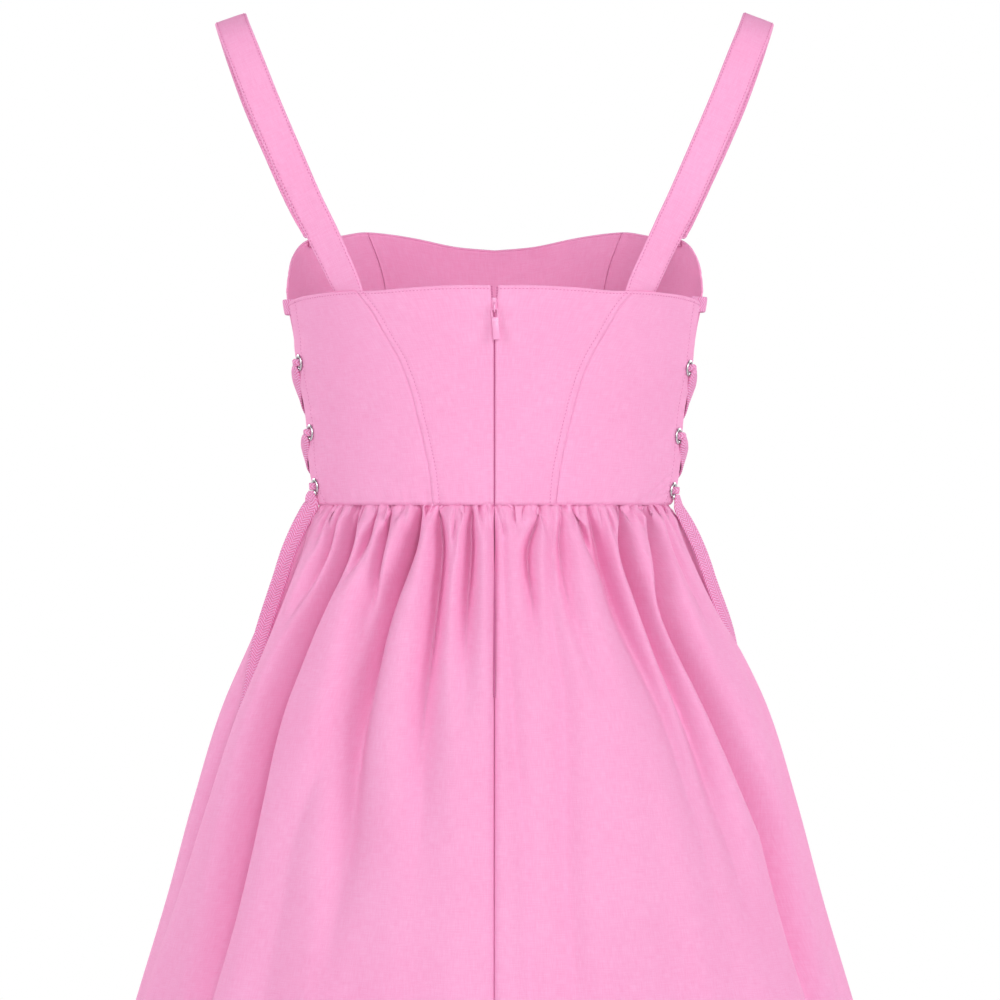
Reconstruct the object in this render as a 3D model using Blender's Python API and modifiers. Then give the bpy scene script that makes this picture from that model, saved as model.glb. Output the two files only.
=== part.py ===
"""Laced cotton sundress, filled out as when worn, with nobody in it.

Metres, +Z up. The dress faces -Y, its back faces +Y, and the wearer's left is +X.
The origin lies midway between the two strap crests, at the height of their undersides,
where the wearer's shoulders carry the dress.
"""
import math
from bisect import bisect_right
from collections import namedtuple

import bmesh
import bpy
import numpy as np
from mathutils import Matrix, Vector

# ---------------------------------------------------------------- driving sizes
SEAM_GAP = 0.0003
BODICE_CLOTH = 0.0015
SKIRT_CLOTH = 0.0012
STRAP_CLOTH = 0.0016
STRAP_WIDTH = 0.0243
STRAP_LIFT = 0.0010
SKIRT_DROP = 0.0006

WAIST_Z = -0.358
HEM_Z = -0.906

EYELET_HOLE = 0.00375
EYELET_BARREL = 0.0041
EYELET_RIM = 0.0062
CLOTH_HOLE = 0.0046
EYELET_SEGMENTS = 12
EYELET_CUT_LENGTH = 0.012

LACE_WIDTH = 0.0115
LACE_BUNCHED = 0.0054
LACE_HALF_FOLDED = 0.0085
LACE_CLOTH = 0.0018
LACE_CLEAR = 0.0034
LACE_BEHIND = -0.0044
LACE_TURN = 0.0022
LACE_BAR_Z = -0.2145
LACE_BAR_WIDTH = 0.0105
TAIL_STEPS = 26
TAIL_SPACING_POWER = 1.25

ZIP_GAP = 0.00055
ZIP_MOUTH = 0.0027
ZIP_MOUTH_Z = -0.2270
ZIP_END_Z = -0.498
ZIP_TAPE_WIDTH = 0.0085
ZIP_TAPE_CLOTH = 0.0008
ZIP_BEHIND = 0.0022

SLIDER_Z = -0.2160
SLIDER_PLATE = (0.0060, 0.0012, 0.0080)
SLIDER_PLATE_OUT = -0.0042
SLIDER_STEM = (0.0012, 0.0056, 0.0040)
SLIDER_STEM_OUT = -0.0012
SLIDER_ARCH = (0.0030, 0.0044, 0.0070)
SLIDER_EYE = (0.0060, 0.0024, 0.0050)
SLIDER_ARCH_OUT = 0.0026

PULL_AXIS_DOWN = 0.0015
PULL_SIZE = (0.0052, 0.0011, 0.0225)
PULL_EYE = (0.0038, 0.0040, 0.0055)
PULL_BAR = 0.0010

BUST_DEPTH = 0.007
BUST_DEGREES = 36
BUST_SPREAD_DEGREES = 17
BUST_Z = -0.213
BUST_SPREAD_Z = 0.032

GATHERS_PER_QUARTER = 14
GATHER_STEPS = 4
GATHER_AT_SEAM = 0.0013
GATHER_BELOW_SEAM = 0.0024
GATHERS_SIDEWAYS = 0.12
SEAM_STRIP = 0.008
HEM_WAVE = 0.0035

# Faces across and down each kind of bodice panel.
BACK_CENTRE_STEPS = (7, 9)
BACK_SIDE_STEPS = (8, 9)
FRONT_STEPS = (8, 10)

LEFT, RIGHT = 1, -1
BACK, FRONT = "back", "front"

# ---------------------------------------------------------------- tables
Section = namedtuple("Section", "z back_half front_half back_depth front_depth")
SECTIONS = (
    Section(-0.150, 0.1530, 0.1540, 0.0960, 0.1060),
    Section(-0.180, 0.1530, 0.1560, 0.0950, 0.1150),
    Section(-0.205, 0.1520, 0.1560, 0.0940, 0.1190),
    Section(-0.230, 0.1490, 0.1510, 0.0920, 0.1150),
    Section(-0.256, 0.1470, 0.1475, 0.0890, 0.1060),
    Section(-0.290, 0.1415, 0.1415, 0.0870, 0.0980),
    Section(-0.325, 0.1390, 0.1390, 0.0860, 0.0930),
    Section(WAIST_Z, 0.1350, 0.1350, 0.0870, 0.0900),
)
SKIRT_SECTIONS = (
    Section(WAIST_Z, 0.1350, 0.1350, 0.0875, 0.0905),
    Section(-0.384, 0.1450, 0.1450, 0.0990, 0.1010),
    Section(-0.428, 0.1645, 0.1645, 0.1170, 0.1180),
    Section(-0.466, 0.1815, 0.1815, 0.1295, 0.1285),
    Section(-0.502, 0.1975, 0.1975, 0.1400, 0.1380),
    Section(-0.576, 0.2210, 0.2210, 0.1590, 0.1550),
    Section(-0.650, 0.2410, 0.2410, 0.1760, 0.1700),
    Section(-0.724, 0.2630, 0.2630, 0.1920, 0.1860),
    Section(HEM_Z, 0.3140, 0.3140, 0.2250, 0.2180),
)

# The top edges: degrees round from the back centre or the front centre, and the height.
EdgeRow = namedtuple("EdgeRow", "degrees z")
BACK_TOP = (
    EdgeRow(0, -0.2003), EdgeRow(11, -0.2003), EdgeRow(23, -0.2016), EdgeRow(34, -0.2034),
    EdgeRow(45, -0.2033), EdgeRow(57, -0.2042), EdgeRow(68, -0.2056), EdgeRow(76, -0.2070),
    EdgeRow(86, -0.2090),
)
FRONT_TOP = (
    EdgeRow(0, -0.1630), EdgeRow(11, -0.1605), EdgeRow(23, -0.1545), EdgeRow(33, -0.1515),
    EdgeRow(40, -0.1510), EdgeRow(50, -0.1545), EdgeRow(58, -0.1575), EdgeRow(67, -0.1600),
    EdgeRow(74, -0.1680), EdgeRow(80, -0.1800), EdgeRow(84, -0.1950), EdgeRow(86, -0.2030),
)

# Half the width of the open side, from the top of the bodice down into the skirt's slit.
SideGap = namedtuple("SideGap", "z half")
SIDE_GAP = (
    SideGap(-0.190, 0.0100), SideGap(-0.230, 0.0105), SideGap(-0.256, 0.0112),
    SideGap(-0.306, 0.0135), SideGap(-0.340, 0.0145), SideGap(-0.350, 0.0170),
    SideGap(WAIST_Z, 0.0215), SideGap(-0.372, 0.0150), SideGap(-0.386, 0.0060),
    SideGap(-0.400, 0.00015),
)

# Princess seams: distance from the centre line.
Seam = namedtuple("Seam", "z x")
BACK_SEAM = (
    Seam(-0.200, 0.1035), Seam(-0.216, 0.0905), Seam(-0.231, 0.0818), Seam(-0.254, 0.0686),
    Seam(-0.277, 0.0602), Seam(-0.306, 0.0530), Seam(-0.332, 0.0475), Seam(WAIST_Z, 0.0445),
)
FRONT_SEAM = (
    Seam(-0.150, 0.0980), Seam(-0.180, 0.0860), Seam(-0.215, 0.0780), Seam(-0.250, 0.0700),
    Seam(-0.300, 0.0560), Seam(WAIST_Z, 0.0480),
)

# Eyelets down each side edge: the height on the wearer's left and right, and the distance
# from the side line.
EyeletRow = namedtuple("EyeletRow", "left_z right_z inset")
EYELETS = (
    EyeletRow(-0.2535, -0.2575, 0.0205),
    EyeletRow(-0.3050, -0.3075, 0.0232),
    EyeletRow(-0.3445, -0.3475, 0.0236),
)

# An eyelet's turned profile: outer flange, barrel through the cloth and inner flange.
RingPoint = namedtuple("RingPoint", "radius out")
EYELET_PROFILE = (
    RingPoint(EYELET_RIM, 0.0003), RingPoint(0.0052, 0.0012), RingPoint(EYELET_HOLE, 0.0006),
    RingPoint(EYELET_HOLE, -0.0029), RingPoint(0.0053, -0.0029), RingPoint(0.0053, -0.0024),
    RingPoint(EYELET_BARREL, -0.0024), RingPoint(EYELET_BARREL, 0.0003),
)

# Skirt folds. Place is a share of the half width, from the waist to where the fold dies out.
# Positive is the wearer's left.
Fold = namedtuple("Fold", "waist low end depth width")
BACK_FOLDS = (
    Fold(0.822, 0.838, -0.460, 0.0060, 0.008),
    Fold(0.745, 0.757, -0.680, 0.0120, 0.012),
    Fold(0.560, 0.600, -0.480, 0.0060, 0.009),
    Fold(0.405, 0.475, -0.620, 0.0100, 0.012),
    Fold(0.275, 0.225, -0.540, 0.0090, 0.011),
    Fold(0.130, 0.100, -0.510, 0.0080, 0.009),
    Fold(0.000, -0.005, -0.800, 0.0070, 0.009),
    Fold(-0.220, -0.175, -0.440, 0.0050, 0.008),
    Fold(-0.310, -0.237, -0.600, 0.0050, 0.011),
    Fold(-0.445, -0.640, -0.640, 0.0085, 0.012),
    Fold(-0.672, -0.715, -0.700, 0.0110, 0.012),
    Fold(-0.805, -0.880, -0.840, 0.0090, 0.011),
)
FRONT_FOLDS = (
    Fold(0.840, 0.880, -0.600, 0.008, 0.011),
    Fold(0.640, 0.720, -0.680, 0.009, 0.012),
    Fold(0.430, 0.500, -0.560, 0.007, 0.011),
    Fold(0.250, 0.230, -0.480, 0.006, 0.009),
    Fold(0.050, 0.080, -0.640, 0.007, 0.011),
    Fold(-0.180, -0.210, -0.520, 0.006, 0.010),
    Fold(-0.390, -0.470, -0.620, 0.008, 0.012),
    Fold(-0.590, -0.660, -0.540, 0.007, 0.010),
    Fold(-0.790, -0.850, -0.660, 0.009, 0.012),
)

# The hollow beside each side seam, where the lace ends hang. Left and right are its distances
# behind the side line, rear and front its reach to both sides.
Valley = namedtuple("Valley", "z left right depth rear front")
SIDE_VALLEY = (
    Valley(WAIST_Z, 0.0220, 0.0220, 0.0000, 0.0110, 0.0080),
    Valley(-0.372, 0.0220, 0.0220, 0.0035, 0.0110, 0.0080),
    Valley(-0.385, 0.0220, 0.0220, 0.0055, 0.0120, 0.0080),
    Valley(-0.400, 0.0220, 0.0220, 0.0075, 0.0130, 0.0090),
    Valley(-0.429, 0.0220, 0.0180, 0.0120, 0.0160, 0.0100),
    Valley(-0.447, 0.0220, 0.0100, 0.0155, 0.0170, 0.0110),
    Valley(-0.466, 0.0220, 0.0000, 0.0190, 0.0180, 0.0110),
    Valley(-0.488, 0.0220, -0.0080, 0.0225, 0.0190, 0.0120),
    Valley(-0.503, 0.0220, -0.0120, 0.0258, 0.0190, 0.0120),
    Valley(-0.585, 0.0220, -0.0140, 0.0260, 0.0190, 0.0130),
    Valley(-0.640, 0.0220, -0.0140, 0.0140, 0.0190, 0.0150),
    Valley(-0.750, 0.0220, -0.0140, 0.0080, 0.0200, 0.0180),
    Valley(HEM_Z, 0.0220, -0.0140, 0.0040, 0.0220, 0.0200),
)
RIGHT_REAR_SHARE = 0.7

# Heights of the skirt's rows: every gather is sampled down to the last fine row.
FINE_ROWS = (WAIST_Z, -0.3645, -0.376, -0.392, -0.413)
COARSE_ROWS = (-0.438, -0.466, -0.500, -0.540, -0.600, -0.690, HEM_Z)

# Strap centre line from the back edge over the shoulder to the front edge, and the direction
# across it to its outer edge.
StrapRow = namedtuple("StrapRow", "x y z across_x across_y across_z")
STRAP = (
    StrapRow(0.1112, 0.0680, -0.1900, 0.80, -0.44, -0.38),
    StrapRow(0.1256, 0.0660, -0.1594, 0.84, -0.33, -0.38),
    StrapRow(0.1366, 0.0640, -0.1374, 0.88, -0.20, -0.39),
    StrapRow(0.1529, 0.0590, -0.1006, 0.91, -0.08, -0.39),
    StrapRow(0.1689, 0.0500, -0.0633, 0.92, -0.04, -0.38),
    StrapRow(0.1811, 0.0390, -0.0331, 0.93, -0.02, -0.36),
    StrapRow(0.1905, 0.0250, -0.0105, 0.94, 0.00, -0.34),
    StrapRow(0.1950, 0.0060, 0.0008, 0.94, 0.00, -0.34),
    StrapRow(0.1935, -0.0120, -0.0065, 0.94, 0.02, -0.34),
    StrapRow(0.1870, -0.0270, -0.0280, 0.92, 0.10, -0.37),
    StrapRow(0.1770, -0.0390, -0.0570, 0.88, 0.22, -0.40),
    StrapRow(0.1625, -0.0490, -0.0930, 0.80, 0.42, -0.40),
    StrapRow(0.1480, -0.0560, -0.1280, 0.70, 0.60, -0.38),
    StrapRow(0.1375, -0.0610, -0.1500, 0.62, 0.68, -0.37),
)
STRAP_BACK_DEGREES = (38.9, 50.6)
STRAP_FRONT_DEGREES = (52.0, 66.0)

# One crossing of the lace, from an upper eyelet to the next one down on the other edge. Share
# runs from 0 at the upper eyelet to 1 at the lower, over and under are the distances from the
# cloth's outer face of the tape that passes over the other and of the one below it, and lean
# is the turn of the tape's width from upright.
CrossRow = namedtuple("CrossRow", "share over under lean width")
CROSSING = (
    CrossRow(0.07, 0.0034, 0.0034, 10, 0.0070),
    CrossRow(0.15, 0.0032, 0.0031, 25, 0.0078),
    CrossRow(0.22, 0.0028, 0.0017, 38, 0.0084),
    CrossRow(0.30, 0.0023, -0.0007, 46, 0.0086),
    CrossRow(0.46, 0.0017, -0.0016, 50, 0.0086),
    CrossRow(0.60, 0.0011, -0.0021, 48, 0.0086),
    CrossRow(0.69, -0.0012, -0.0028, 42, 0.0070),
    CrossRow(0.76, -0.0034, -0.0037, 32, 0.0068),
    CrossRow(0.85, -0.0041, -0.0042, 20, 0.0066),
    CrossRow(0.93, -0.0044, -0.0044, 8, 0.0062),
)

# The lace's turn through an eyelet: the shift towards the opening as a share of LACE_TURN, and
# the distance out as a share of the way from behind the cloth to its front.
HoleRow = namedtuple("HoleRow", "shift share")
HOLE_TURN = (
    HoleRow(1.0, 0.0), HoleRow(0.35, 0.14), HoleRow(0.0, 0.37), HoleRow(0.0, 0.64),
    HoleRow(0.35, 0.90), HoleRow(1.0, 1.0),
)

# The hanging ends, by the drop below the lowest eyelet: how far outside the form, the turn of
# the tape about its length on either side, and its width. The back ends follow the hollows.
TailRow = namedtuple("TailRow", "drop out left_turn right_turn width")
BACK_TAIL = (
    TailRow(-0.0032, 0.0034, 0, 0, 0.0062),
    TailRow(-0.0065, 0.0052, 5, 5, 0.0072),
    TailRow(-0.0130, 0.0070, 30, 20, 0.0090),
    TailRow(-0.0250, 0.0084, 60, 34, 0.0112),
    TailRow(-0.0450, 0.0067, 74, 38, LACE_WIDTH),
    TailRow(-0.0700, 0.0032, 78, 38, LACE_WIDTH),
    TailRow(-0.0850, 0.0012, 78, 36, LACE_WIDTH),
    TailRow(-0.1000, -0.0008, 75, 32, LACE_WIDTH),
    TailRow(-0.1215, -0.0048, 68, 28, LACE_WIDTH),
    TailRow(-0.1350, -0.0083, 60, 25, LACE_WIDTH),
    TailRow(-0.1584, -0.0138, 50, 20, LACE_WIDTH),
    TailRow(-0.1750, -0.0150, 45, 18, LACE_WIDTH),
    TailRow(-0.2100, -0.0158, 38, 10, LACE_WIDTH),
    TailRow(-0.2400, -0.0165, 32, 8, LACE_WIDTH),
)
TAIL_SHIFT = -0.0010
# The front ends lie on the skirt, this far before the side line.
FrontTailRow = namedtuple("FrontTailRow", "drop inset out left_turn right_turn width")
FRONT_TAIL = (
    FrontTailRow(-0.0032, 0.0226, 0.0034, 0, 0, 0.0062),
    FrontTailRow(-0.0065, 0.0226, 0.0052, 3, 3, 0.0072),
    FrontTailRow(-0.0130, 0.0236, 0.0062, 8, 8, 0.0090),
    FrontTailRow(-0.0250, 0.0260, 0.0070, 14, 14, 0.0112),
    FrontTailRow(-0.0450, 0.0300, 0.0066, 16, 16, LACE_WIDTH),
    FrontTailRow(-0.0700, 0.0330, 0.0060, 14, 14, LACE_WIDTH),
    FrontTailRow(-0.1000, 0.0350, 0.0050, 8, 8, LACE_WIDTH),
    FrontTailRow(-0.1350, 0.0355, 0.0034, 4, 4, LACE_WIDTH),
    FrontTailRow(-0.1750, 0.0350, 0.0028, 0, 0, LACE_WIDTH),
    FrontTailRow(-0.2100, 0.0330, 0.0028, 0, 0, LACE_WIDTH),
    FrontTailRow(-0.2400, 0.0310, 0.0030, 0, 0, LACE_WIDTH),
)

# The short tape across the top of a side opening: its ends lie behind the panels and its
# middle stands out in the gap. Half of it, from its end to the side line.
BarRow = namedtuple("BarRow", "inset out")
LACE_BAR = (
    BarRow(0.0200, -0.0033), BarRow(0.0105, -0.0032), BarRow(0.0080, -0.0018),
    BarRow(0.0040, 0.0006), BarRow(0.0001, 0.0014),
)

# Heights of the zip tapes' rows above the waist seam.
ZIP_BODICE_ROWS = (
    -0.2020, -0.2130, -0.2270, -0.2500, -0.2700, -0.2900, -0.3250, -0.3540, -0.3582,
)

Paint = namedtuple("Paint", "red green blue roughness metallic")
PAINTS = {
    "pink_cotton": Paint(0.90, 0.40, 0.66, 0.85, 0.0),
    "pink_tape": Paint(0.80, 0.30, 0.55, 0.85, 0.0),
    "silver_metal": Paint(0.80, 0.80, 0.82, 0.25, 1.0),
    "pink_enamel": Paint(0.88, 0.38, 0.64, 0.35, 0.3),
}


# ---------------------------------------------------------------- curves through the tables
class Curve:
    """A smooth curve through one column of a table."""

    def __init__(self, rows, key, column):
        ordered = sorted(rows, key=lambda row: getattr(row, key))
        self.keys = [getattr(row, key) for row in ordered]
        self.values = [getattr(row, column) for row in ordered]
        self.slopes = np.gradient(self.values, self.keys)

    def __call__(self, at):
        if at <= self.keys[0]:
            return self.values[0]
        if at >= self.keys[-1]:
            return self.values[-1]
        low = bisect_right(self.keys, at) - 1
        span = self.keys[low + 1] - self.keys[low]
        t = (at - self.keys[low]) / span
        start = (1 + 2 * t) * (1 - t) ** 2 * self.values[low]
        end = t * t * (3 - 2 * t) * self.values[low + 1]
        lean_in = t * (1 - t) ** 2 * span * self.slopes[low]
        lean_out = t * t * (t - 1) * span * self.slopes[low + 1]
        return float(start + end + lean_in + lean_out)


def smoothstep(low, high, value):
    t = min(max((value - low) / (high - low), 0.0), 1.0)
    return t * t * (3 - 2 * t)


def mix(a, b, t):
    return a + (b - a) * t


Knot = namedtuple("Knot", "key value")


class Body:
    """A hollow form: half an ellipse behind and half in front at each height."""

    def __init__(self, sections):
        self.back_half = Curve(sections, "z", "back_half")
        self.front_half = Curve(sections, "z", "front_half")
        self.back_depth = Curve(sections, "z", "back_depth")
        self.front_depth = Curve(sections, "z", "front_depth")

    def half(self, theta, z):
        forward = smoothstep(math.radians(70), math.radians(110), theta)
        return mix(self.back_half(z), self.front_half(z), forward)

    def depth(self, theta, z):
        return self.back_depth(z) if theta <= math.pi / 2 else self.front_depth(z)

    def point(self, theta, z, out=0.0, side=LEFT):
        """Theta runs from the back centre round one side to the front centre."""
        half = self.half(theta, z)
        depth = self.depth(theta, z)
        place = Vector((half * math.sin(theta), depth * math.cos(theta), z))
        normal = Vector((math.sin(theta) / half, math.cos(theta) / depth, 0)).normalized()
        place += normal * out
        return Vector((place.x * side, place.y, place.z))

    def theta_at_x(self, x, z, face):
        half = self.back_half(z) if face == BACK else self.front_half(z)
        angle = math.asin(min(x / half, 1.0))
        return angle if face == BACK else math.pi - angle

    def theta_at_inset(self, inset, z, face):
        """The angle that lies this far behind or before the side line."""
        if face == BACK:
            return math.acos(inset / self.back_depth(z))
        return math.pi - math.acos(inset / self.front_depth(z))


BODICE = Body(SECTIONS)
SKIRT = Body(SKIRT_SECTIONS)
back_top = Curve(BACK_TOP, "degrees", "z")
front_top = Curve(FRONT_TOP, "degrees", "z")
side_gap = Curve(SIDE_GAP, "z", "half")
VALLEY_INSET = {LEFT: Curve(SIDE_VALLEY, "z", "left"), RIGHT: Curve(SIDE_VALLEY, "z", "right")}
valley_depth = Curve(SIDE_VALLEY, "z", "depth")
valley_rear = Curve(SIDE_VALLEY, "z", "rear")
valley_front = Curve(SIDE_VALLEY, "z", "front")
front_tail_inset = Curve(FRONT_TAIL, "drop", "inset")
back_seam = Curve(BACK_SEAM, "z", "x")
front_seam = Curve(FRONT_SEAM, "z", "x")


# ---------------------------------------------------------------- making objects
def clear_scene():
    for old in list(bpy.data.objects):
        bpy.data.objects.remove(old, do_unlink=True)


def make_collection(name):
    collection = bpy.data.collections.new(name)
    bpy.context.scene.collection.children.link(collection)
    return collection


def make_material(name, paint):
    material = bpy.data.materials.new(name)
    material.use_nodes = True
    shader = material.node_tree.nodes["Principled BSDF"]
    shader.inputs["Base Color"].default_value = (paint.red, paint.green, paint.blue, 1)
    shader.inputs["Roughness"].default_value = paint.roughness
    shader.inputs["Metallic"].default_value = paint.metallic
    return material


def add_object(name, mesh, material, collection):
    piece = bpy.data.objects.new(name, mesh)
    piece.data.materials.append(material)
    collection.objects.link(piece)
    return piece


def grid_mesh(name, rows, outward):
    """A sheet through rows of points, faced so that its middle looks along outward."""
    bm = bmesh.new()
    grid = [[bm.verts.new(point) for point in row] for row in rows]
    for upper, lower in zip(grid, grid[1:]):
        join_rows(bm, upper, lower)
    bm.normal_update()
    faces = sorted(bm.faces, key=lambda face: face.index)
    middle = faces[len(faces) // 2]
    if middle.normal.dot(outward) < 0:
        bmesh.ops.reverse_faces(bm, faces=bm.faces[:])
    mesh = bpy.data.meshes.new(name)
    bm.to_mesh(mesh)
    bm.free()
    mesh.shade_smooth()
    return mesh


def join_rows(bm, upper, lower):
    """Faces between two rows. The lower may have every second point between its end strips."""
    if len(upper) == len(lower):
        join_strip(bm, upper, lower)
        return
    join_strip(bm, upper[:2], lower[:2])
    join_strip(bm, upper[-2:], lower[-2:])
    upper = upper[1:-1]
    lower = lower[1:-1]
    for i in range(len(lower) - 1):
        first, middle, last = upper[2 * i: 2 * i + 3]
        bm.faces.new((first, middle, lower[i]))
        bm.faces.new((middle, lower[i + 1], lower[i]))
        bm.faces.new((middle, last, lower[i + 1]))


def join_strip(bm, upper, lower):
    for i in range(len(upper) - 1):
        bm.faces.new((upper[i], upper[i + 1], lower[i + 1], lower[i]))


def add_wall(piece, thickness, offset):
    wall = piece.modifiers.new("wall", "SOLIDIFY")
    wall.thickness = thickness
    wall.offset = offset
    wall.use_even_offset = True
    wall.use_quality_normals = True


def add_boolean(piece, other, operation):
    cut = piece.modifiers.new(other.name, "BOOLEAN")
    cut.operation = operation
    cut.object = other
    cut.solver = "EXACT"


def hide_guide(piece):
    piece.hide_render = True
    piece.display_type = "WIRE"


def outward_at(point):
    return Vector((point.x, point.y, 0)).normalized()


def cloth_panel(name, rows, thickness, outward, kit):
    panel = add_object(name, grid_mesh(name, rows, outward), kit["pink_cotton"], kit["parts"])
    add_wall(panel, thickness, -1.0)
    return panel


# ---------------------------------------------------------------- bodice
def bust_relief(theta, z):
    """The front seams shape two shallow cups on either side of a flat centre."""
    across = (180 - math.degrees(theta) - BUST_DEGREES) / BUST_SPREAD_DEGREES
    up = (z - BUST_Z) / BUST_SPREAD_Z
    return BUST_DEPTH * math.exp(-across ** 2 - up ** 2)


def zip_half_gap(z):
    """Half the opening between the back edges, which spreads above the zip's slider."""
    return mix(ZIP_MOUTH, ZIP_GAP, smoothstep(-BACK_TOP[0].z, -ZIP_MOUTH_Z, -z))


def bodice_point(theta, z, out, side):
    relief = bust_relief(theta, z) if theta > math.pi / 2 else 0.0
    return BODICE.point(theta, z, out + relief, side)


def bodice_panel_rows(start, end, top, steps, side):
    """Rows of a panel between two edge functions of the height, hung from its top edge."""
    columns, levels = steps
    rows = []
    for level in range(levels + 1):
        row = []
        for column in range(columns + 1):
            across = column / columns
            upper = top(mix(start(BACK_TOP[0].z), end(BACK_TOP[0].z), across))
            upper = top(mix(start(upper), end(upper), across))
            z = mix(upper, WAIST_Z + SEAM_GAP / 2, level / levels)
            row.append(bodice_point(mix(start(z), end(z), across), z, 0, side))
        rows.append(row)
    return rows


def back_top_at(theta):
    return back_top(math.degrees(theta))


def front_top_at(theta):
    return front_top(180 - math.degrees(theta))


def seam_edge(seam, face, shift):
    return lambda z: BODICE.theta_at_x(seam(z) + shift, z, face)


def side_edge(face):
    return lambda z: BODICE.theta_at_inset(side_gap(z), z, face)


def zip_edge(z):
    return BODICE.theta_at_x(zip_half_gap(z), z, BACK)


def side_name(side):
    return "left" if side == LEFT else "right"


def eyelet_frame(row, face, side):
    """Where an eyelet sits: its middle on the cloth and the direction out of the cloth."""
    z = row.left_z if side == LEFT else row.right_z
    theta = BODICE.theta_at_inset(row.inset, z, face)
    middle = BODICE.point(theta, z, 0, side)
    across = BODICE.point(theta + 0.01, z, 0, side) - middle
    down = BODICE.point(theta, z - 0.002, 0, side) - middle
    out = across.cross(down).normalized()
    if out.dot(outward_at(middle)) < 0:
        out = -out
    return middle, out


def frame_matrix(middle, out):
    return Matrix.Translation(middle) @ out.to_track_quat("Z", "Y").to_matrix().to_4x4()


def eyelet_cutter(name, middle, out, kit):
    bm = bmesh.new()
    bmesh.ops.create_cone(bm, cap_ends=True, segments=EYELET_SEGMENTS, radius1=CLOTH_HOLE,
                          radius2=CLOTH_HOLE, depth=EYELET_CUT_LENGTH)
    mesh = bpy.data.meshes.new(name)
    bm.to_mesh(mesh)
    bm.free()
    cutter = bpy.data.objects.new(name, mesh)
    cutter.matrix_world = frame_matrix(middle, out)
    kit["guides"].objects.link(cutter)
    hide_guide(cutter)
    return cutter


def eyelet_mesh():
    bm = bmesh.new()
    rings = []
    for step in range(EYELET_SEGMENTS):
        turn = 2 * math.pi * step / EYELET_SEGMENTS
        way = Vector((math.cos(turn), math.sin(turn), 0))
        rings.append([bm.verts.new(way * at.radius + Vector((0, 0, at.out)))
                      for at in EYELET_PROFILE])
    for ring, after in zip(rings, rings[1:] + rings[:1]):
        for i in range(len(ring)):
            bm.faces.new((ring[i - 1], ring[i], after[i], after[i - 1]))
    bmesh.ops.recalc_face_normals(bm, faces=bm.faces[:])
    mesh = bpy.data.meshes.new("eyelet")
    bm.to_mesh(mesh)
    bm.free()
    mesh.shade_smooth()
    return mesh


def add_eyelets(panel, face, side, ring, kit):
    for number, row in enumerate(EYELETS, 1):
        middle, out = eyelet_frame(row, face, side)
        name = f"eyelet_{face}_{side_name(side)}_{number}"
        add_boolean(panel, eyelet_cutter(f"hole_{name}", middle, out, kit), "DIFFERENCE")
        eyelet = bpy.data.objects.new(name, ring)
        eyelet.matrix_world = frame_matrix(middle, out)
        kit["parts"].objects.link(eyelet)


def add_bodice(kit):
    ring = eyelet_mesh()
    ring.materials.append(kit["silver_metal"])
    half_seam = SEAM_GAP / 2
    for side in (LEFT, RIGHT):
        name = side_name(side)
        rows = bodice_panel_rows(zip_edge, seam_edge(back_seam, BACK, -half_seam), back_top_at,
                                 BACK_CENTRE_STEPS, side)
        cloth_panel(f"back_centre_{name}", rows, BODICE_CLOTH, Vector((0, 1, 0)), kit)
        rows = bodice_panel_rows(seam_edge(back_seam, BACK, half_seam), side_edge(BACK),
                                 back_top_at, BACK_SIDE_STEPS, side)
        panel = cloth_panel(f"back_side_{name}", rows, BODICE_CLOTH, Vector((side, 1, 0)), kit)
        add_eyelets(panel, BACK, side, ring, kit)
        rows = bodice_panel_rows(side_edge(FRONT), seam_edge(front_seam, FRONT, half_seam),
                                 front_top_at, FRONT_STEPS, side)
        panel = cloth_panel(f"front_side_{name}", rows, BODICE_CLOTH, Vector((side, -1, 0)), kit)
        add_eyelets(panel, FRONT, side, ring, kit)
    add_front_centre(kit)


def add_front_centre(kit):
    edge = seam_edge(front_seam, FRONT, -SEAM_GAP / 2)
    left = bodice_panel_rows(edge, lambda z: math.pi, front_top_at, FRONT_STEPS, LEFT)
    right = bodice_panel_rows(edge, lambda z: math.pi, front_top_at, FRONT_STEPS, RIGHT)
    rows = [a + b[::-1][1:] for a, b in zip(left, right)]
    cloth_panel("front_centre", rows, BODICE_CLOTH, Vector((0, -1, 0)), kit)


# ---------------------------------------------------------------- straps
def strap_end(face, side):
    """The inner and outer corner of a strap where it meets the bodice's top edge."""
    degrees = STRAP_BACK_DEGREES if face == BACK else STRAP_FRONT_DEGREES
    top = back_top if face == BACK else front_top
    corners = []
    for angle in degrees:
        theta = math.radians(angle if face == BACK else 180 - angle)
        z = top(angle) + STRAP_LIFT
        corners.append(bodice_point(theta, z, -BODICE_CLOTH / 2, side))
    return corners


def strap_rows(side):
    rows = [strap_end(BACK, side)]
    for row in STRAP:
        middle = Vector((row.x * side, row.y, row.z))
        across = Vector((row.across_x * side, row.across_y, row.across_z)).normalized()
        rows.append([middle - across * STRAP_WIDTH / 2, middle + across * STRAP_WIDTH / 2])
    rows.append(strap_end(FRONT, side))
    return smooth_rows(rows)


def smooth_track(points):
    """A smooth curve through points, one curve for each axis."""
    curves = []
    for axis in range(3):
        knots = [Knot(key, point[axis]) for key, point in enumerate(points)]
        curves.append(Curve(knots, "key", "value"))
    return curves


def smooth_rows(rows):
    """The given rows with one more between each two, on a smooth curve down each edge."""
    tracks = [smooth_track(points) for points in zip(*rows)]
    smooth = []
    for step in range(2 * len(rows) - 1):
        smooth.append([Vector([curve(step / 2) for curve in curves]) for curves in tracks])
    return smooth


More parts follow.
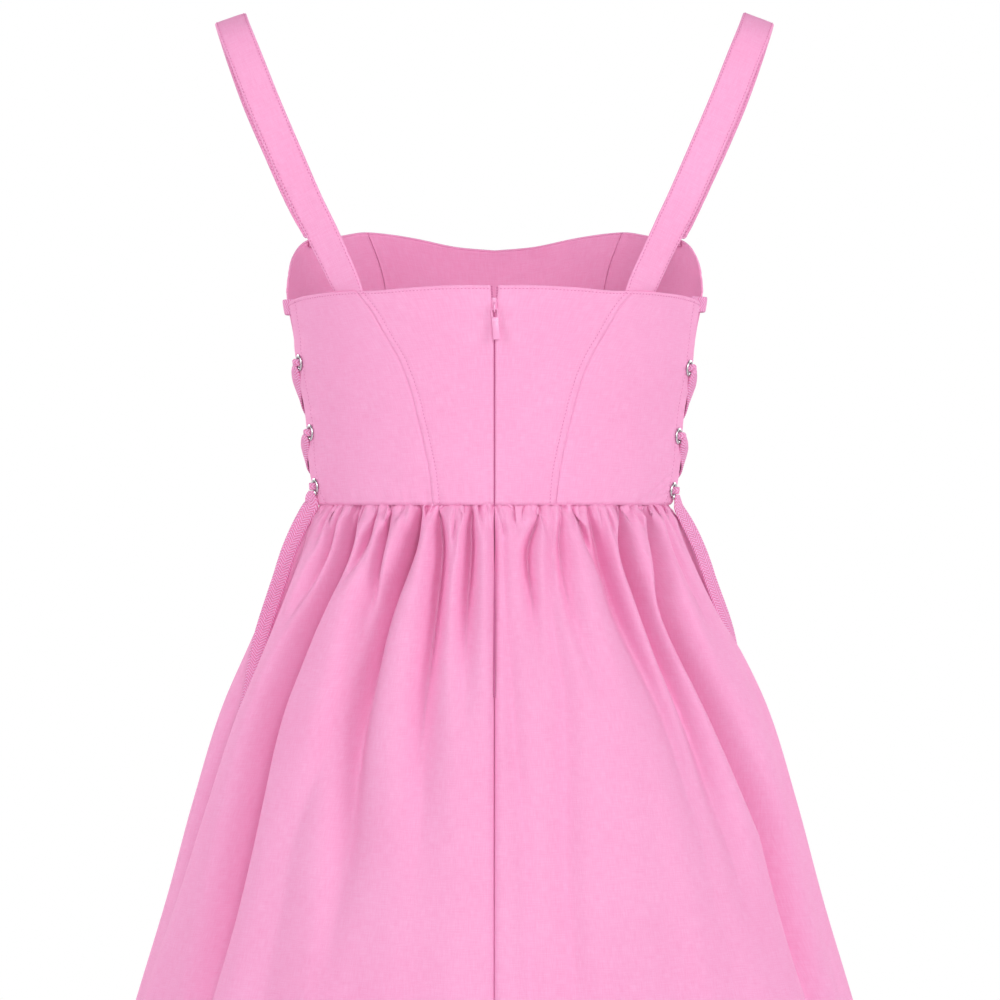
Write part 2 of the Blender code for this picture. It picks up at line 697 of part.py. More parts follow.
def add_straps(kit):
    for side in (LEFT, RIGHT):
        name = f"strap_{side_name(side)}"
        mesh = grid_mesh(name, strap_rows(side), Vector((0, 0, 1)))
        strap = add_object(name, mesh, kit["pink_cotton"], kit["parts"])
        add_wall(strap, STRAP_CLOTH, 0.0)


# ---------------------------------------------------------------- skirt
def fold_depth(fold, theta, z, face):
    """How far one fold draws the cloth in here."""
    down = (WAIST_Z - z) / (WAIST_Z - fold.end)
    place = mix(fold.waist, fold.low, min(down, 1.2))
    signed = math.asin(max(-1.0, min(1.0, place)))
    span = theta - signed
    across = SKIRT.back_half(z) * math.cos(signed)
    inward = SKIRT.back_depth(z) * math.sin(signed)
    width = fold.width * mix(0.7, 1.5, min(down, 1.0))
    start = mix(0.12, 1.0, smoothstep(0.0, 0.045, WAIST_Z - z))
    fade = 1 - smoothstep(0.65, 1.25, down)
    return fold.depth * start * fade * math.exp(-(span * math.hypot(across, inward) / width) ** 2)


def gather_size(z):
    """Fine gathers swell just below the waist and have merged a hand's width down."""
    below = WAIST_Z - z
    swell = mix(GATHER_AT_SEAM, GATHER_BELOW_SEAM, smoothstep(0.0, 0.016, below))
    return swell * (1 - smoothstep(0.020, 0.110, below))


def side_valley(theta, z, side):
    """The hollow beside the side seam, where the lace ends lie."""
    middle = SKIRT.theta_at_inset(VALLEY_INSET[side](z), z, BACK)
    distance = (theta - middle) * SKIRT.back_depth(z)
    reach = valley_front(z)
    if distance < 0:
        reach = valley_rear(z) * (1.0 if side == LEFT else RIGHT_REAR_SHARE)
    return valley_depth(z) * math.exp(-(distance / reach) ** 2)


def hem_wave(theta, z, side):
    swing = math.sin(9 * theta + 0.9 * side) + 0.6 * math.sin(14 * theta + 2.1 * side)
    return HEM_WAVE * smoothstep(0.150, 0.500, WAIST_Z - z) * swing


def skirt_relief(theta, z, side, face, phase):
    folds = BACK_FOLDS if face == BACK else FRONT_FOLDS
    turn = theta if face == BACK else math.pi - theta
    signed = turn * side
    drawn = sum(fold_depth(fold, signed, z, face) for fold in folds)
    wave = -math.cos(2 * math.pi * phase) * gather_size(z)
    seam = min(turn, abs(theta - math.pi / 2)) * SKIRT.back_depth(z)
    calm = smoothstep(0.0, 0.030, seam)
    return wave + hem_wave(turn, z, side) * calm - drawn - side_valley(theta, z, side)


def gather_shares(count):
    """Uneven places of the gather samples across a panel, as a share of its width."""
    shares = []
    for step in range(count * GATHER_STEPS + 1):
        share = step / (count * GATHER_STEPS)
        bend = 0.010 * math.sin(6 * math.pi * share) + 0.006 * math.sin(16 * math.pi * share)
        shares.append(share + bend + GATHERS_SIDEWAYS * math.sin(math.pi * share))
    return shares


# A column of the skirt: its place across the panel, the place whose relief it takes, and its
# count of gathers from the panel's start.
Column = namedtuple("Column", "place felt phase")


def skirt_columns(step):
    """The columns of a panel, with a flat strip along each seam."""
    shares = gather_shares(GATHERS_PER_QUARTER)
    columns = [Column(0.0, SEAM_STRIP, 0.0)]
    for index in range(0, len(shares), step):
        inner = mix(SEAM_STRIP, 1 - SEAM_STRIP, shares[index])
        columns.append(Column(inner, inner, index / GATHER_STEPS))
    columns.append(Column(1.0, 1 - SEAM_STRIP, GATHERS_PER_QUARTER))
    return columns


def skirt_point(column, z, side, face):
    begin = SEAM_GAP / 2 / SKIRT.back_half(z) if face == BACK else math.pi
    end = SKIRT.theta_at_inset(side_gap(z), z, face)
    theta = mix(begin, end, column.place)
    felt = mix(begin, end, column.felt)
    return SKIRT.point(theta, z, skirt_relief(felt, z, side, face, column.phase), side)


def skirt_rows(side, face):
    """Rows of a quarter of the skirt from its centre line to its side."""
    rows = []
    fine = skirt_columns(1)
    coarse = [fine[0]] + skirt_columns(2)[1:-1] + [fine[-1]]
    if face == FRONT:
        fine = fine[1:]
        coarse = coarse[1:]
    for z in FINE_ROWS:
        level = z - SKIRT_DROP if z == WAIST_Z else z
        rows.append([skirt_point(column, level, side, face) for column in fine])
    for z in COARSE_ROWS:
        rows.append([skirt_point(column, z, side, face) for column in coarse])
    return rows


def add_skirt(kit):
    for side in (LEFT, RIGHT):
        rows = skirt_rows(side, BACK)
        cloth_panel(f"skirt_back_{side_name(side)}", rows, SKIRT_CLOTH, Vector((side, 1, 0)), kit)
    left = skirt_rows(LEFT, FRONT)
    right = skirt_rows(RIGHT, FRONT)
    rows = [a[::-1] + b[1:] for a, b in zip(left, right)]
    cloth_panel("skirt_front", rows, SKIRT_CLOTH, Vector((0, -1, 0)), kit)


# ---------------------------------------------------------------- laces
def side_point(inset, z, out, side):
    """A point by the side line: inset is positive behind it and negative before it."""
    body = BODICE if z > WAIST_Z else SKIRT
    face = BACK if inset >= 0 else FRONT
    theta = body.theta_at_inset(abs(inset), z, face)
    return body.point(theta, z, out, side)


def side_axes(inset, z, side):
    """Directions by the side line: backwards along the cloth, up, and out of it."""
    step = 0.0005
    here = side_point(inset, z, 0, side)
    along = (side_point(inset + step, z, 0, side) - here).normalized()
    up = (side_point(inset, z + step, 0, side) - here).normalized()
    out = (side_point(inset, z, 0.01, side) - here).normalized()
    return along, up, out


def ribbon(name, rows, thickness, material, kit):
    """A flat tape through rows of (middle, direction across, width)."""
    points = [[middle - across * width / 2, middle + across * width / 2]
              for middle, across, width in rows]
    mesh = grid_mesh(name, points, Vector((1, 0, 0)))
    tape = add_object(name, mesh, material, kit["parts"])
    add_wall(tape, thickness, 0.0)
    return tape


def through_hole(inset, z, side):
    """The turn of the lace through an eyelet, from behind the cloth to its front."""
    rows = []
    for row in HOLE_TURN:
        place = inset - math.copysign(LACE_TURN, inset) * row.shift
        out = mix(LACE_BEHIND, LACE_CLEAR, row.share)
        along, up, out_way = side_axes(place, z, side)
        rows.append((side_point(place, z, out, side), up, LACE_BUNCHED))
    return rows


def crossing(from_inset, from_z, to_inset, to_z, over, side):
    """The stretch between an upper eyelet and the next one down on the other edge."""
    rows = []
    for row in CROSSING:
        inset = mix(from_inset, to_inset, row.share)
        z = mix(from_z, to_z, row.share)
        along, up, out_way = side_axes(inset, z, side)
        lean = math.radians(row.lean) * math.copysign(1, from_inset)
        across = (up * math.cos(lean) - along * math.sin(lean)).normalized()
        out = row.over if over else row.under
        rows.append((side_point(inset, z, out, side), across, row.width))
    return rows


def eyelet_z(row, side):
    return row.left_z if side == LEFT else row.right_z


def lace_start(sign, side):
    """The lace behind the cloth, from the side line towards its first eyelet."""
    first = EYELETS[0]
    z = eyelet_z(first, side)
    rows = []
    for inset, width in ((SEAM_GAP / 2, LACE_HALF_FOLDED), (0.006, LACE_HALF_FOLDED),
                         (0.012, LACE_HALF_FOLDED), (first.inset - 0.0040, LACE_BUNCHED)):
        along, up, out_way = side_axes(sign * inset, z, side)
        rows.append((side_point(sign * inset, z, LACE_BEHIND, side), up, width))
    return rows


def held_lace(start_face, side):
    """Half a lace: from inside, between the top eyelets, down to the lowest eyelet."""
    sign = 1 if start_face == BACK else -1
    first = EYELETS[0]
    rows = lace_start(sign, side)
    rows += through_hole(sign * first.inset, eyelet_z(first, side), side)
    for upper, lower in zip(EYELETS, EYELETS[1:]):
        over = (start_face == BACK) == (upper is first)
        rows += crossing(sign * (upper.inset - LACE_TURN), eyelet_z(upper, side),
                         -sign * (lower.inset - LACE_TURN), eyelet_z(lower, side), over, side)
        sign = -sign
        rows += through_hole(sign * lower.inset, eyelet_z(lower, side), side)
    return rows


def tail_inset(face, side, z, drop):
    """How far a hanging end lies behind the side line, or before it for a front end."""
    if face == FRONT:
        return -front_tail_inset(drop)
    start = EYELETS[-1].inset + TAIL_SHIFT
    return mix(start, VALLEY_INSET[side](z), smoothstep(0.010, 0.040, -drop))


def tail_rows(face, side):
    """A hanging lace end, from the lowest eyelet down the outside of the skirt."""
    table = BACK_TAIL if face == BACK else FRONT_TAIL
    turn_name = f"{side_name(side)}_turn"
    curves = {name: Curve(table, "drop", name) for name in ("out", turn_name, "width")}
    sign = 1 if face == BACK else -1
    places = []
    for step in range(TAIL_STEPS + 1):
        share = (step / TAIL_STEPS) ** TAIL_SPACING_POWER
        drop = mix(table[0].drop, table[-1].drop, share)
        z = eyelet_z(EYELETS[-1], side) + drop
        inset = tail_inset(face, side, z, drop)
        places.append((drop, z, inset, side_point(inset, z, curves["out"](drop), side)))
    rows = []
    for step, (drop, z, inset, middle) in enumerate(places):
        ahead = places[min(step + 1, TAIL_STEPS)][3]
        down = (ahead - places[max(step - 1, 0)][3]).normalized()
        along, up, out_way = side_axes(inset, z, side)
        turn = math.radians(curves[turn_name](drop)) * sign
        across = along * math.cos(turn) - out_way * math.sin(turn)
        across = (across - down * across.dot(down)).normalized()
        rows.append((middle, across * side, curves["width"](drop)))
    return rows


def lace_bar_rows(side):
    """The short tape that holds the top of a side opening together."""
    ahead = [BarRow(-row.inset, row.out) for row in reversed(LACE_BAR[:-1])]
    rows = []
    for row in list(LACE_BAR) + ahead:
        along, up, out_way = side_axes(row.inset, LACE_BAR_Z, side)
        rows.append((side_point(row.inset, LACE_BAR_Z, row.out, side), up, LACE_BAR_WIDTH))
    return rows


def add_laces(kit):
    for side in (LEFT, RIGHT):
        name = side_name(side)
        tape = kit["pink_tape"]
        ribbon(f"lace_bar_{name}", lace_bar_rows(side), LACE_CLOTH, tape, kit)
        ribbon(f"lace_{name}_a", held_lace(BACK, side), LACE_CLOTH, tape, kit)
        ribbon(f"lace_{name}_b", held_lace(FRONT, side), LACE_CLOTH, tape, kit)
        for face in (BACK, FRONT):
            ribbon(f"tail_{face}_{name}", tail_rows(face, side), LACE_CLOTH, tape, kit)


# ---------------------------------------------------------------- zip
def zip_tape_rows(side):
    """One zip tape behind the back edges, from the top edge down into the skirt seam."""
    heights = [z for z in FINE_ROWS[1:] + COARSE_ROWS if z > ZIP_END_Z] + [ZIP_END_Z]
    rows = []
    for z in list(ZIP_BODICE_ROWS) + heights:
        inner = max(zip_half_gap(z) - 0.0002, 0.0004)
        if z > WAIST_Z:
            rows.append([BODICE.point(BODICE.theta_at_x(x, z, BACK), z, -ZIP_BEHIND, side)
                         for x in (inner, ZIP_TAPE_WIDTH)])
        else:
            seam = skirt_point(Column(0.0, 0.0, 0.0), z, side, BACK)
            behind = SKIRT_CLOTH + 2 * ZIP_TAPE_CLOTH
            rows.append([Vector((x * side, seam.y - behind, z))
                         for x in (inner, ZIP_TAPE_WIDTH)])
    return rows


def box(name, size, middle, collection):
    bm = bmesh.new()
    bmesh.ops.create_cube(bm, size=1.0)
    bmesh.ops.scale(bm, vec=Vector(size), verts=bm.verts[:])
    mesh = bpy.data.meshes.new(name)
    bm.to_mesh(mesh)
    bm.free()
    piece = bpy.data.objects.new(name, mesh)
    piece.location = middle
    collection.objects.link(piece)
    return piece


def slider_frame():
    """The slider's place on the centre back, leaning with the cloth."""
    above = BODICE.point(0, SLIDER_Z + 0.004)
    below = BODICE.point(0, SLIDER_Z - 0.004)
    lean = math.atan2(above.y - below.y, above.z - below.z)
    return Matrix.Translation(BODICE.point(0, SLIDER_Z)) @ Matrix.Rotation(-lean, 4, "X")


def add_slider(kit):
    """A plate behind the tapes, a stem between them and an arch that carries the pull."""
    frame = slider_frame()
    slider = box("zip_slider", SLIDER_ARCH, (0, SLIDER_ARCH_OUT, 0), kit["parts"])
    eye = box("slider_eye", SLIDER_EYE, (0, SLIDER_ARCH_OUT, 0), kit["guides"])
    stem = box("slider_stem", SLIDER_STEM, (0, SLIDER_STEM_OUT, 0), kit["guides"])
    plate = box("slider_plate", SLIDER_PLATE, (0, SLIDER_PLATE_OUT, 0), kit["guides"])
    for piece in (slider, eye, stem, plate):
        piece.matrix_world = frame @ Matrix.Translation(piece.location)
    for guide, operation in ((eye, "DIFFERENCE"), (stem, "UNION"), (plate, "UNION")):
        hide_guide(guide)
        add_boolean(slider, guide, operation)
    slider.data.materials.append(kit["pink_enamel"])


def add_pull(kit):
    """The pull tab. Its origin lies on its hinge: the bar of its eye inside the arch."""
    axis = slider_frame() @ Vector((0, SLIDER_ARCH_OUT, -PULL_AXIS_DOWN))
    hinge = bpy.data.objects.new("pull_hinge", None)
    hinge.location = axis
    kit["guides"].objects.link(hinge)
    drop = -(PULL_SIZE[2] - PULL_BAR) / 2
    pull = box("zip_pull", PULL_SIZE, (0, 0, 0), kit["parts"])
    pull.data.transform(Matrix.Translation((0, 0, drop)))
    pull.parent = hinge
    eye = box("pull_eye", PULL_EYE, (0, 0, 0), kit["guides"])
    eye.data.transform(Matrix.Translation((0, 0, -(PULL_BAR + PULL_EYE[2]) / 2)))
    eye.parent = hinge
    hide_guide(eye)
    add_boolean(pull, eye, "DIFFERENCE")
    pull.data.materials.append(kit["pink_enamel"])


def add_zip(kit):
    for side in (LEFT, RIGHT):
        name = f"zip_tape_{side_name(side)}"
        mesh = grid_mesh(name, zip_tape_rows(side), Vector((0, 1, 0)))
        tape = add_object(name, mesh, kit["pink_tape"], kit["parts"])
        add_wall(tape, ZIP_TAPE_CLOTH, 0.0)
    add_slider(kit)
    add_pull(kit)


# ---------------------------------------------------------------- assembly
def main():
    clear_scene()
    kit = {name: make_material(name, paint) for name, paint in PAINTS.items()}
    kit["parts"] = make_collection("laced_sundress")
    kit["guides"] = make_collection("guides")
    add_bodice(kit)
    add_straps(kit)
    add_skirt(kit)
    add_laces(kit)
    add_zip(kit)


main()
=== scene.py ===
"""Looks of the laced cotton sundress: cloth, stitching, laces, zip, light and camera.

Metres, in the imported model's frame: +Z up, the dress faces -Y, its back faces +Y and the
wearer's left is +X. The camera looks at the back.
"""
import math
from collections import namedtuple

import bmesh
import bpy
import numpy as np
from mathutils import Matrix, Vector


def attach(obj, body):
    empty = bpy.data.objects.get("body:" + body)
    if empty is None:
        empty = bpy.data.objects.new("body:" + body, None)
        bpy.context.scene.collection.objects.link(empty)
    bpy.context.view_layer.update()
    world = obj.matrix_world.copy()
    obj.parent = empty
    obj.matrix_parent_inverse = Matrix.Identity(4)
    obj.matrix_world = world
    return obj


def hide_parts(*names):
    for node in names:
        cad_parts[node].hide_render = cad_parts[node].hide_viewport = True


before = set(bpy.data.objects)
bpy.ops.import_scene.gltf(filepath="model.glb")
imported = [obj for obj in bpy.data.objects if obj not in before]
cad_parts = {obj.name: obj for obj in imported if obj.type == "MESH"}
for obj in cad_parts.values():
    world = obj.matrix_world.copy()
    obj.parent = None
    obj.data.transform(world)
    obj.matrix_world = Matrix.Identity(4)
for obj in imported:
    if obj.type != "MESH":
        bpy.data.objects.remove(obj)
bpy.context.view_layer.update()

# ---------------------------------------------------------------- driving sizes
DRESS, PULL_TAB = "dress", "pull_tab"
LEFT, RIGHT = 1, -1
BACK, FRONT = "back", "front"

WAIST_Z = -0.358
HEM_Z = -0.906
SEAM_CLOTH = 0.0012
STRAP_WIDTH = 0.0243
STRAP_CLOTH = 0.0020
# A strap's end goes down behind the top edge by STRAP_SUNK and crosses it at STRAP_LIP above
# it. The two OUT values place its middle behind the bodice's face there.
STRAP_SUNK = 0.0055
STRAP_LIP = 0.0004
STRAP_SUNK_OUT = -0.0026
STRAP_LIP_OUT = -0.0016
STRAP_SPACING = 0.0022
STRAP_STITCH_PLACE = 0.86
STRAP_STITCH_ENDS = 4
STRAP_PUCKER, STRAP_SWELL = 0.00022, 0.0005

LACE_WIDTH = 0.0115
LACE_BUNCHED = 0.0054
LACE_HALF_FOLDED = 0.0085
LACE_CLOTH = 0.0018
LACE_SPACING = 0.0011
LACE_CROWN = 0.55
LACE_START_INSETS = (0.00015, 0.006, 0.012)
LACE_BUNCHED_BEFORE = 0.0040
LACE_CLEAR = 0.0034
LACE_BEHIND = -0.0044
LACE_TURN = 0.0022
LACE_BAR_Z = {LEFT: -0.2120, RIGHT: -0.2100}
LACE_BAR_WIDTH = 0.0115

EYELET_HOLE = 0.00375
EYELET_RIM = 0.0062
CLOTH_HOLE = 0.0046

ZIP_GAP = 0.00060
SKIRT_SEAM_GAP = 0.00012
ZIP_MOUTH = 0.0027
ZIP_MOUTH_Z = -0.2270
ZIP_END_Z = -0.498
ZIP_BEHIND = 0.0022
SLIDER_Z = -0.2160

STITCH_PITCH = 0.0027
STITCH_LENGTH = 0.0016
STITCH_RADIUS = 0.00030
TOP_STITCH_INSET = 0.0028
PRINCESS_STITCH_INSET = 0.0053
PLACKET_STITCH_INSET = 0.0150

# ---------------------------------------------------------------- tables of the form
Section = namedtuple("Section", "z back_half front_half back_depth front_depth")
SECTIONS = (
    Section(-0.150, 0.1530, 0.1540, 0.0960, 0.1060),
    Section(-0.180, 0.1530, 0.1560, 0.0950, 0.1150),
    Section(-0.205, 0.1520, 0.1560, 0.0940, 0.1190),
    Section(-0.230, 0.1490, 0.1510, 0.0920, 0.1150),
    Section(-0.256, 0.1470, 0.1475, 0.0890, 0.1060),
    Section(-0.290, 0.1415, 0.1415, 0.0870, 0.0980),
    Section(-0.325, 0.1390, 0.1390, 0.0860, 0.0930),
    Section(WAIST_Z, 0.1350, 0.1350, 0.0870, 0.0900),
)
SKIRT_SECTIONS = (
    Section(WAIST_Z, 0.1350, 0.1350, 0.0875, 0.0905),
    Section(-0.384, 0.1450, 0.1450, 0.0990, 0.1010),
    Section(-0.428, 0.1645, 0.1645, 0.1170, 0.1180),
    Section(-0.466, 0.1815, 0.1815, 0.1295, 0.1285),
    Section(-0.502, 0.1975, 0.1975, 0.1400, 0.1380),
    Section(-0.576, 0.2210, 0.2210, 0.1590, 0.1550),
    Section(-0.650, 0.2410, 0.2410, 0.1760, 0.1700),
    Section(-0.724, 0.2630, 0.2630, 0.1920, 0.1860),
    Section(HEM_Z, 0.3140, 0.3140, 0.2250, 0.2180),
)

# The top edges: degrees round from the back centre or the front centre, and the height.
EdgeRow = namedtuple("EdgeRow", "degrees z")
BACK_TOP = (
    EdgeRow(0, -0.2003), EdgeRow(11, -0.2003), EdgeRow(23, -0.2016), EdgeRow(34, -0.2034),
    EdgeRow(45, -0.2033), EdgeRow(57, -0.2042), EdgeRow(68, -0.2056), EdgeRow(76, -0.2070),
    EdgeRow(86, -0.2090),
)
FRONT_TOP = (
    EdgeRow(0, -0.1630), EdgeRow(11, -0.1605), EdgeRow(23, -0.1545), EdgeRow(33, -0.1515),
    EdgeRow(40, -0.1510), EdgeRow(50, -0.1545), EdgeRow(58, -0.1575), EdgeRow(67, -0.1600),
    EdgeRow(74, -0.1680), EdgeRow(80, -0.1800), EdgeRow(84, -0.1950), EdgeRow(86, -0.2030),
)

# Half the width of the open side, from the top of the bodice down into the skirt's slit.
SideGap = namedtuple("SideGap", "z half")
SIDE_GAP = (
    SideGap(-0.190, 0.0100), SideGap(-0.230, 0.0105), SideGap(-0.256, 0.0112),
    SideGap(-0.306, 0.0135), SideGap(-0.340, 0.0145), SideGap(-0.350, 0.0170),
    SideGap(WAIST_Z, 0.0215), SideGap(-0.372, 0.0150), SideGap(-0.386, 0.0060),
    SideGap(-0.400, 0.00015),
)

# Princess seams: distance from the centre line.
Seam = namedtuple("Seam", "z x")
BACK_SEAM = (
    Seam(-0.200, 0.1035), Seam(-0.216, 0.0905), Seam(-0.231, 0.0818), Seam(-0.254, 0.0686),
    Seam(-0.277, 0.0602), Seam(-0.306, 0.0530), Seam(-0.332, 0.0475), Seam(WAIST_Z, 0.0445),
)
FRONT_SEAM = (
    Seam(-0.150, 0.0980), Seam(-0.180, 0.0860), Seam(-0.215, 0.0780), Seam(-0.250, 0.0700),
    Seam(-0.300, 0.0560), Seam(WAIST_Z, 0.0480),
)

# Eyelets down each side edge: the height on either side and the distance from the side line.
EyeletRow = namedtuple("EyeletRow", "left_z right_z inset")
EYELETS = (
    EyeletRow(-0.2535, -0.2575, 0.0205),
    EyeletRow(-0.3050, -0.3075, 0.0232),
    EyeletRow(-0.3445, -0.3475, 0.0236),
)

# Creases of the skirt. Their places are shares of the half width at CREASE_HEIGHTS, positive
# on the wearer's left. Each holds its depth down to hold and has died out at end, or a little
# below it when it is long. Lean shifts its bottom towards the wearer's left.
CREASE_HEIGHTS = (-0.365, -0.387, -0.427, -0.491, -0.596)
Crease = namedtuple("Crease", "waist upper middle lower hem depth width hold end lean")
BACK_CREASES = (
    Crease(0.893, 0.888, 0.880, 0.880, 0.880, 0.0030, 0.0030, -0.368, -0.395, 0.2),
    Crease(0.827, 0.846, 0.885, 0.890, 0.890, 0.0080, 0.0040, -0.392, -0.432, 0.3),
    Crease(0.783, 0.774, 0.770, 0.770, 0.770, 0.0040, 0.0030, -0.366, -0.390, 0.2),
    Crease(0.745, 0.765, 0.805, 0.832, 0.828, 0.0200, 0.0076, -0.600, -0.840, 0.2),
    Crease(0.643, 0.639, 0.624, 0.579, 0.637, 0.0034, 0.0080, -0.660, -0.860, 0.0),
    Crease(0.633, 0.668, 0.715, 0.720, 0.720, 0.0080, 0.0036, -0.382, -0.410, 0.3),
    Crease(0.548, 0.573, 0.584, 0.580, 0.580, 0.0110, 0.0046, -0.385, -0.445, 0.1),
    Crease(0.468, 0.454, 0.440, 0.440, 0.440, 0.0025, 0.0026, -0.366, -0.390, 0.0),
    Crease(0.410, 0.440, 0.500, 0.515, 0.475, 0.0178, 0.0068, -0.440, -0.710, -0.3),
    Crease(0.290, 0.272, 0.268, 0.262, 0.230, 0.0150, 0.0066, -0.430, -0.600, 0.2),
    Crease(0.206, 0.203, 0.200, 0.200, 0.200, 0.0045, 0.0028, -0.370, -0.400, 0.0),
    Crease(0.128, 0.125, 0.128, 0.110, 0.095, 0.0135, 0.0062, -0.398, -0.500, 0.0),
    Crease(-0.133, -0.105, -0.098, -0.064, -0.050, 0.0045, 0.0150, -0.430, -0.600, 0.0),
    Crease(-0.050, -0.048, -0.048, -0.062, -0.094, 0.0026, 0.0040, -0.640, -0.880, 0.0),
    Crease(-0.232, -0.174, -0.172, -0.170, -0.165, 0.0080, 0.0045, -0.385, -0.450, -0.2),
    Crease(-0.305, -0.291, -0.259, -0.258, -0.220, 0.0052, 0.0060, -0.600, -0.860, 0.0),
    Crease(-0.358, -0.347, -0.346, -0.389, -0.390, 0.0085, 0.0055, -0.385, -0.480, 0.3),
    Crease(-0.431, -0.479, -0.549, -0.580, -0.600, 0.0090, 0.0042, -0.380, -0.405, -0.2),
    Crease(-0.505, -0.533, -0.549, -0.613, -0.659, 0.0124, 0.0070, -0.420, -0.640, -0.3),
    Crease(-0.558, -0.560, -0.560, -0.560, -0.560, 0.0040, 0.0026, -0.367, -0.384, 0.0),
    Crease(-0.601, -0.613, -0.620, -0.620, -0.620, 0.0050, 0.0026, -0.368, -0.388, 0.0),
    Crease(-0.681, -0.668, -0.690, -0.727, -0.749, 0.0168, 0.0062, -0.440, -0.660, 0.0),
    Crease(-0.770, -0.764, -0.760, -0.760, -0.760, 0.0035, 0.0026, -0.367, -0.386, 0.0),
    Crease(-0.821, -0.820, -0.799, -0.834, -0.900, 0.0190, 0.0062, -0.600, -0.800, 0.0),
    Crease(-0.888, -0.895, -0.900, -0.900, -0.900, 0.0040, 0.0034, -0.385, -0.430, 0.0),
    Crease(-0.935, -0.930, -0.930, -0.930, -0.930, 0.0060, 0.0030, -0.368, -0.392, 0.0),
)
FRONT_CREASES = (
    Crease(0.840, 0.845, 0.850, 0.860, 0.880, 0.0120, 0.0070, -0.440, -0.620, 0.2),
    Crease(0.640, 0.650, 0.665, 0.690, 0.720, 0.0150, 0.0075, -0.460, -0.680, -0.2),
    Crease(0.530, 0.540, 0.545, 0.550, 0.560, 0.0080, 0.0045, -0.385, -0.450, 0.2),
    Crease(0.430, 0.440, 0.455, 0.480, 0.500, 0.0120, 0.0065, -0.420, -0.560, 0.2),
    Crease(0.250, 0.245, 0.240, 0.235, 0.230, 0.0100, 0.0055, -0.400, -0.500, 0.0),
    Crease(0.150, 0.155, 0.160, 0.160, 0.160, 0.0060, 0.0036, -0.380, -0.430, 0.0),
    Crease(0.050, 0.055, 0.065, 0.075, 0.080, 0.0130, 0.0065, -0.450, -0.640, -0.2),
    Crease(-0.080, -0.085, -0.090, -0.090, -0.090, 0.0060, 0.0034, -0.376, -0.420, 0.2),
    Crease(-0.180, -0.185, -0.195, -0.205, -0.210, 0.0110, 0.0060, -0.410, -0.540, 0.2),
    Crease(-0.290, -0.295, -0.300, -0.310, -0.310, 0.0070, 0.0040, -0.380, -0.440, 0.0),
    Crease(-0.390, -0.405, -0.425, -0.450, -0.470, 0.0140, 0.0070, -0.440, -0.640, -0.3),
    Crease(-0.500, -0.505, -0.510, -0.510, -0.510, 0.0060, 0.0036, -0.380, -0.430, 0.0),
    Crease(-0.590, -0.600, -0.615, -0.640, -0.660, 0.0120, 0.0060, -0.410, -0.560, 0.2),
    Crease(-0.700, -0.705, -0.710, -0.710, -0.710, 0.0060, 0.0036, -0.380, -0.430, 0.0),
    Crease(-0.790, -0.800, -0.815, -0.835, -0.850, 0.0140, 0.0070, -0.440, -0.660, 0.0),
)
# How a crease's width and depth change with the distance below the waist seam.
CreaseSwell = namedtuple("CreaseSwell", "below width depth")
CREASE_SWELL = (
    CreaseSwell(0.000, 0.30, 0.25), CreaseSwell(0.004, 0.38, 0.60), CreaseSwell(0.010, 0.52, 0.95),
    CreaseSwell(0.025, 0.84, 1.55), CreaseSwell(0.050, 1.15, 1.90), CreaseSwell(0.100, 1.50, 1.90),
    CreaseSwell(0.300, 2.20, 1.70), CreaseSwell(0.550, 2.70, 1.40),
)
# Between these two lengths, how far a crease lingers below its end grows from none to
# CREASE_LINGER. The share CREASE_SHEAR of its lean moves the cloth.
LONG_CREASE = (0.02, 0.10)
CREASE_LINGER = 0.045
CREASE_SHEAR = 0.25
CREASE_POWER = 1.6

# The hollow beside each side seam, where the lace ends hang. Left and right are its distances
# behind the side line, rear and front its reach to both sides.
Valley = namedtuple("Valley", "z left right depth rear front")
SIDE_VALLEY = (
    Valley(WAIST_Z, 0.0220, 0.0220, 0.0000, 0.0110, 0.0080),
    Valley(-0.372, 0.0220, 0.0220, 0.0035, 0.0110, 0.0080),
    Valley(-0.385, 0.0220, 0.0220, 0.0055, 0.0120, 0.0080),
    Valley(-0.400, 0.0220, 0.0220, 0.0075, 0.0130, 0.0090),
    Valley(-0.429, 0.0220, 0.0180, 0.0120, 0.0160, 0.0100),
    Valley(-0.447, 0.0220, 0.0100, 0.0155, 0.0170, 0.0110),
    Valley(-0.466, 0.0220, 0.0000, 0.0190, 0.0180, 0.0110),
    Valley(-0.488, 0.0220, -0.0080, 0.0225, 0.0190, 0.0120),
    Valley(-0.503, 0.0220, -0.0120, 0.0258, 0.0190, 0.0120),
    Valley(-0.585, 0.0220, -0.0140, 0.0260, 0.0190, 0.0130),
    Valley(-0.640, 0.0220, -0.0140, 0.0140, 0.0190, 0.0150),
    Valley(-0.750, 0.0220, -0.0140, 0.0080, 0.0200, 0.0180),
    Valley(HEM_Z, 0.0220, -0.0140, 0.0040, 0.0220, 0.0200),
)
# The right hollow's reach to the rear, as a share of the left one's.
RIGHT_REAR_SHARE = 0.7

# Small gathers at the waist seam. Share is a gather's place as a share of the half width, and
# reach how far below the seam it has died out. Lean shifts the cloth in it, and slant carries it
# sideways on its way down. None lies closer than GATHER_CLEAR to a crease.
TINY_GATHERS = 110
GATHER_JITTER = (0.15, 0.85)
GATHER_REACH = (0.006, 0.030)
GATHER_DEPTH = (0.0022, 0.0058)
GATHER_WIDTH = (0.0009, 0.0016)
GATHER_LEAN = (-0.8, 0.8)
GATHER_SLANT = (-0.3, 0.3)
GATHER_SPAN = 0.97
GATHER_FAN_DEGREES = 84
GATHER_CLEAR = 0.012
GATHER_POWER = 1.5
Gather = namedtuple("Gather", "share reach depth width lean slant")
